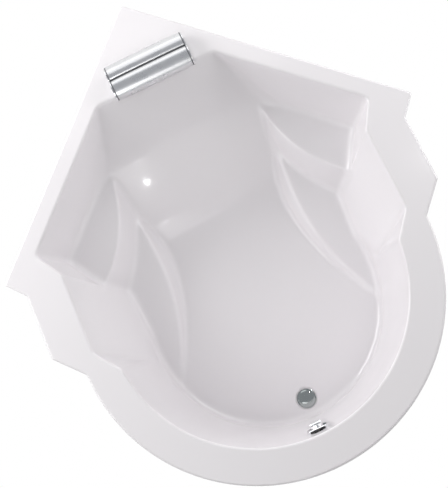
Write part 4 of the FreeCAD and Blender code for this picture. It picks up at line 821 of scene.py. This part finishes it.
FLOOR_HALF = 9.0
floor_mesh = bpy.data.meshes.new("studio_floor")
floor_corners = [(x * FLOOR_HALF, y * FLOOR_HALF, 0.0)
                 for x, y in ((-1, -1), (1, -1), (1, 1), (-1, 1))]
floor_mesh.from_pydata(floor_corners, [], [(0, 1, 2, 3)])
floor_mesh.materials.append(white_where_seen())
floor_plane = bpy.data.objects.new("studio_floor", floor_mesh)
bpy.context.collection.objects.link(floor_plane)
print("floor", FLOOR_HALF * 2, "m wide")

# %% [markdown]
# ## Light
#
# The photograph has soft light from all round, most of it low and from beyond
# the left wall, so the foot of the back slope is the darkest place. A grey
# world gives the fill. Soft panels stand round the bath for the rest: each has
# its bearing from the X axis, its height as an angle, and its power. Two small
# lamps add nothing to that but the short sparks in the gloss.
#
# The room over the photographer and beyond the foot end was dim: the plug, the
# roll and the knob mirror it. So the world is grey there for reflections.

# %% world
WORLD_LEVEL = 0.26
DIM_ROOM = (0.385, 0.395, 0.42)
OVERHEAD_FROM, OVERHEAD_FULL = 0.64, 0.76
FOOT_FROM, FOOT_FULL = 0.30, 0.75
LEVEL_FROM, LEVEL_FULL = 0.34, 0.18
world = bpy.data.worlds.new("studio")
bpy.context.scene.world = world
world.use_nodes = True
sky = Nodes(world.node_tree)
direction = sky.node("ShaderNodeTexCoord", {}, {}, "Generated")
toward = sky.node("ShaderNodeSeparateXYZ", {}, {"Vector": direction})
toward_foot = 0.0 - Wire(sky, toward.socket.node.outputs["Y"])
upward = Wire(sky, toward.socket.node.outputs["Z"])


def ramp(value, start, full):
    """A smooth rise from 0 at one value to 1 at another."""
    return sky.node("ShaderNodeMapRange", {"interpolation_type": "SMOOTHSTEP"},
                    {"Value": value, "From Min": start, "From Max": full})


overhead = ramp(upward, OVERHEAD_FROM, OVERHEAD_FULL)
beyond_foot = ramp(toward_foot, FOOT_FROM, FOOT_FULL)
near_level = ramp(upward, LEVEL_FROM, LEVEL_FULL)
dim = overhead.maths("MAXIMUM", overhead, beyond_foot * near_level) * sky.ray("Glossy")
background = world.node_tree.nodes["Background"]
seen = sky.ray("Camera", "Glossy", "Transmission")
strength = WORLD_LEVEL + (1.0 - WORLD_LEVEL) * seen
room = sky.mix(dim, (1.0, 1.0, 1.0), DIM_ROOM)
world.node_tree.links.new(room.socket, background.inputs["Color"])
world.node_tree.links.new(strength.socket, background.inputs["Strength"])
print("world level", WORLD_LEVEL)

# %% panels of light
# every lamp looks at one place in the basin, in metres, from the same distance
AIM = Vector((0.0, 0.0, 0.4))
LAMP_DISTANCE, LAMP_SIDE = 2.7, 1.4
SPARK_POWER, SPARK_SIDE = 0.4, 0.035

# bearing and height in degrees, and watts
PANELS = {"left_wall": (135.0, 25.0, 41.0), "right_wall": (45.0, 30.0, 18.0),
          "right": (0.0, 22.0, 19.0), "left": (180.0, 33.0, 13.0), "head": (90.0, 46.0, 5.0),
          "foot_left": (243.0, 47.0, 9.5), "foot_right": (315.0, 35.0, 2.5)}
SPARKS = {"small_lamp": (259.0, 31.5), "second_small_lamp": (20.0, 62.0)}


def add_lamp(name, bearing, height, power, shape, side):
    """A flat lamp that faces the bath."""
    light = bpy.data.lights.new(name, "AREA")
    light.shape, light.size, light.energy = shape, side, power
    lamp = bpy.data.objects.new(name, light)
    bpy.context.collection.objects.link(lamp)
    turn, rise = math.radians(bearing), math.radians(height)
    level = math.cos(rise)
    towards = Vector((math.cos(turn) * level, math.sin(turn) * level, math.sin(rise)))
    lamp.location = AIM + LAMP_DISTANCE * towards
    lamp.rotation_euler = (-towards).to_track_quat("-Z", "Y").to_euler()


for name, (bearing, height, power) in PANELS.items():
    add_lamp(name, bearing, height, power, "SQUARE", LAMP_SIDE)
for name, (bearing, height) in SPARKS.items():
    add_lamp(name, bearing, height, SPARK_POWER, "DISK", SPARK_SIDE)

# %% [markdown]
# ## Camera
#
# The camera looks down from almost overhead and is rolled, which is why the
# bath stands at an angle in the picture. Its place was worked out by matching
# the rim's corners with the measured model.

# %% camera
# the focal length is known in pixels of the photograph
FOCAL_PIXELS, PICTURE_HEIGHT, SENSOR = 900.0, 488.0, 36.0
camera_place = Vector((0.079, -0.792, 3.420))
look, up = Vector((-0.0345, 0.2446, -0.969)).normalized(), Vector((0.4263, 0.8806, 0.207))
right = look.cross(up).normalized()
up = right.cross(look).normalized()
lens = bpy.data.cameras.new("photo_camera")
lens.sensor_fit, lens.sensor_width, lens.sensor_height = "VERTICAL", SENSOR, SENSOR
lens.lens = FOCAL_PIXELS * SENSOR / PICTURE_HEIGHT
camera = bpy.data.objects.new("photo_camera", lens)
bpy.context.collection.objects.link(camera)
camera.matrix_world = Matrix((right, up, -look)).transposed().to_4x4()
camera.location = camera_place
bpy.context.scene.camera = camera
print("lens", round(lens.lens, 2), "mm at", tuple(round(c, 3) for c in camera_place))

# %% view transform
import json

bpy.context.scene.view_settings.view_transform = "Standard"
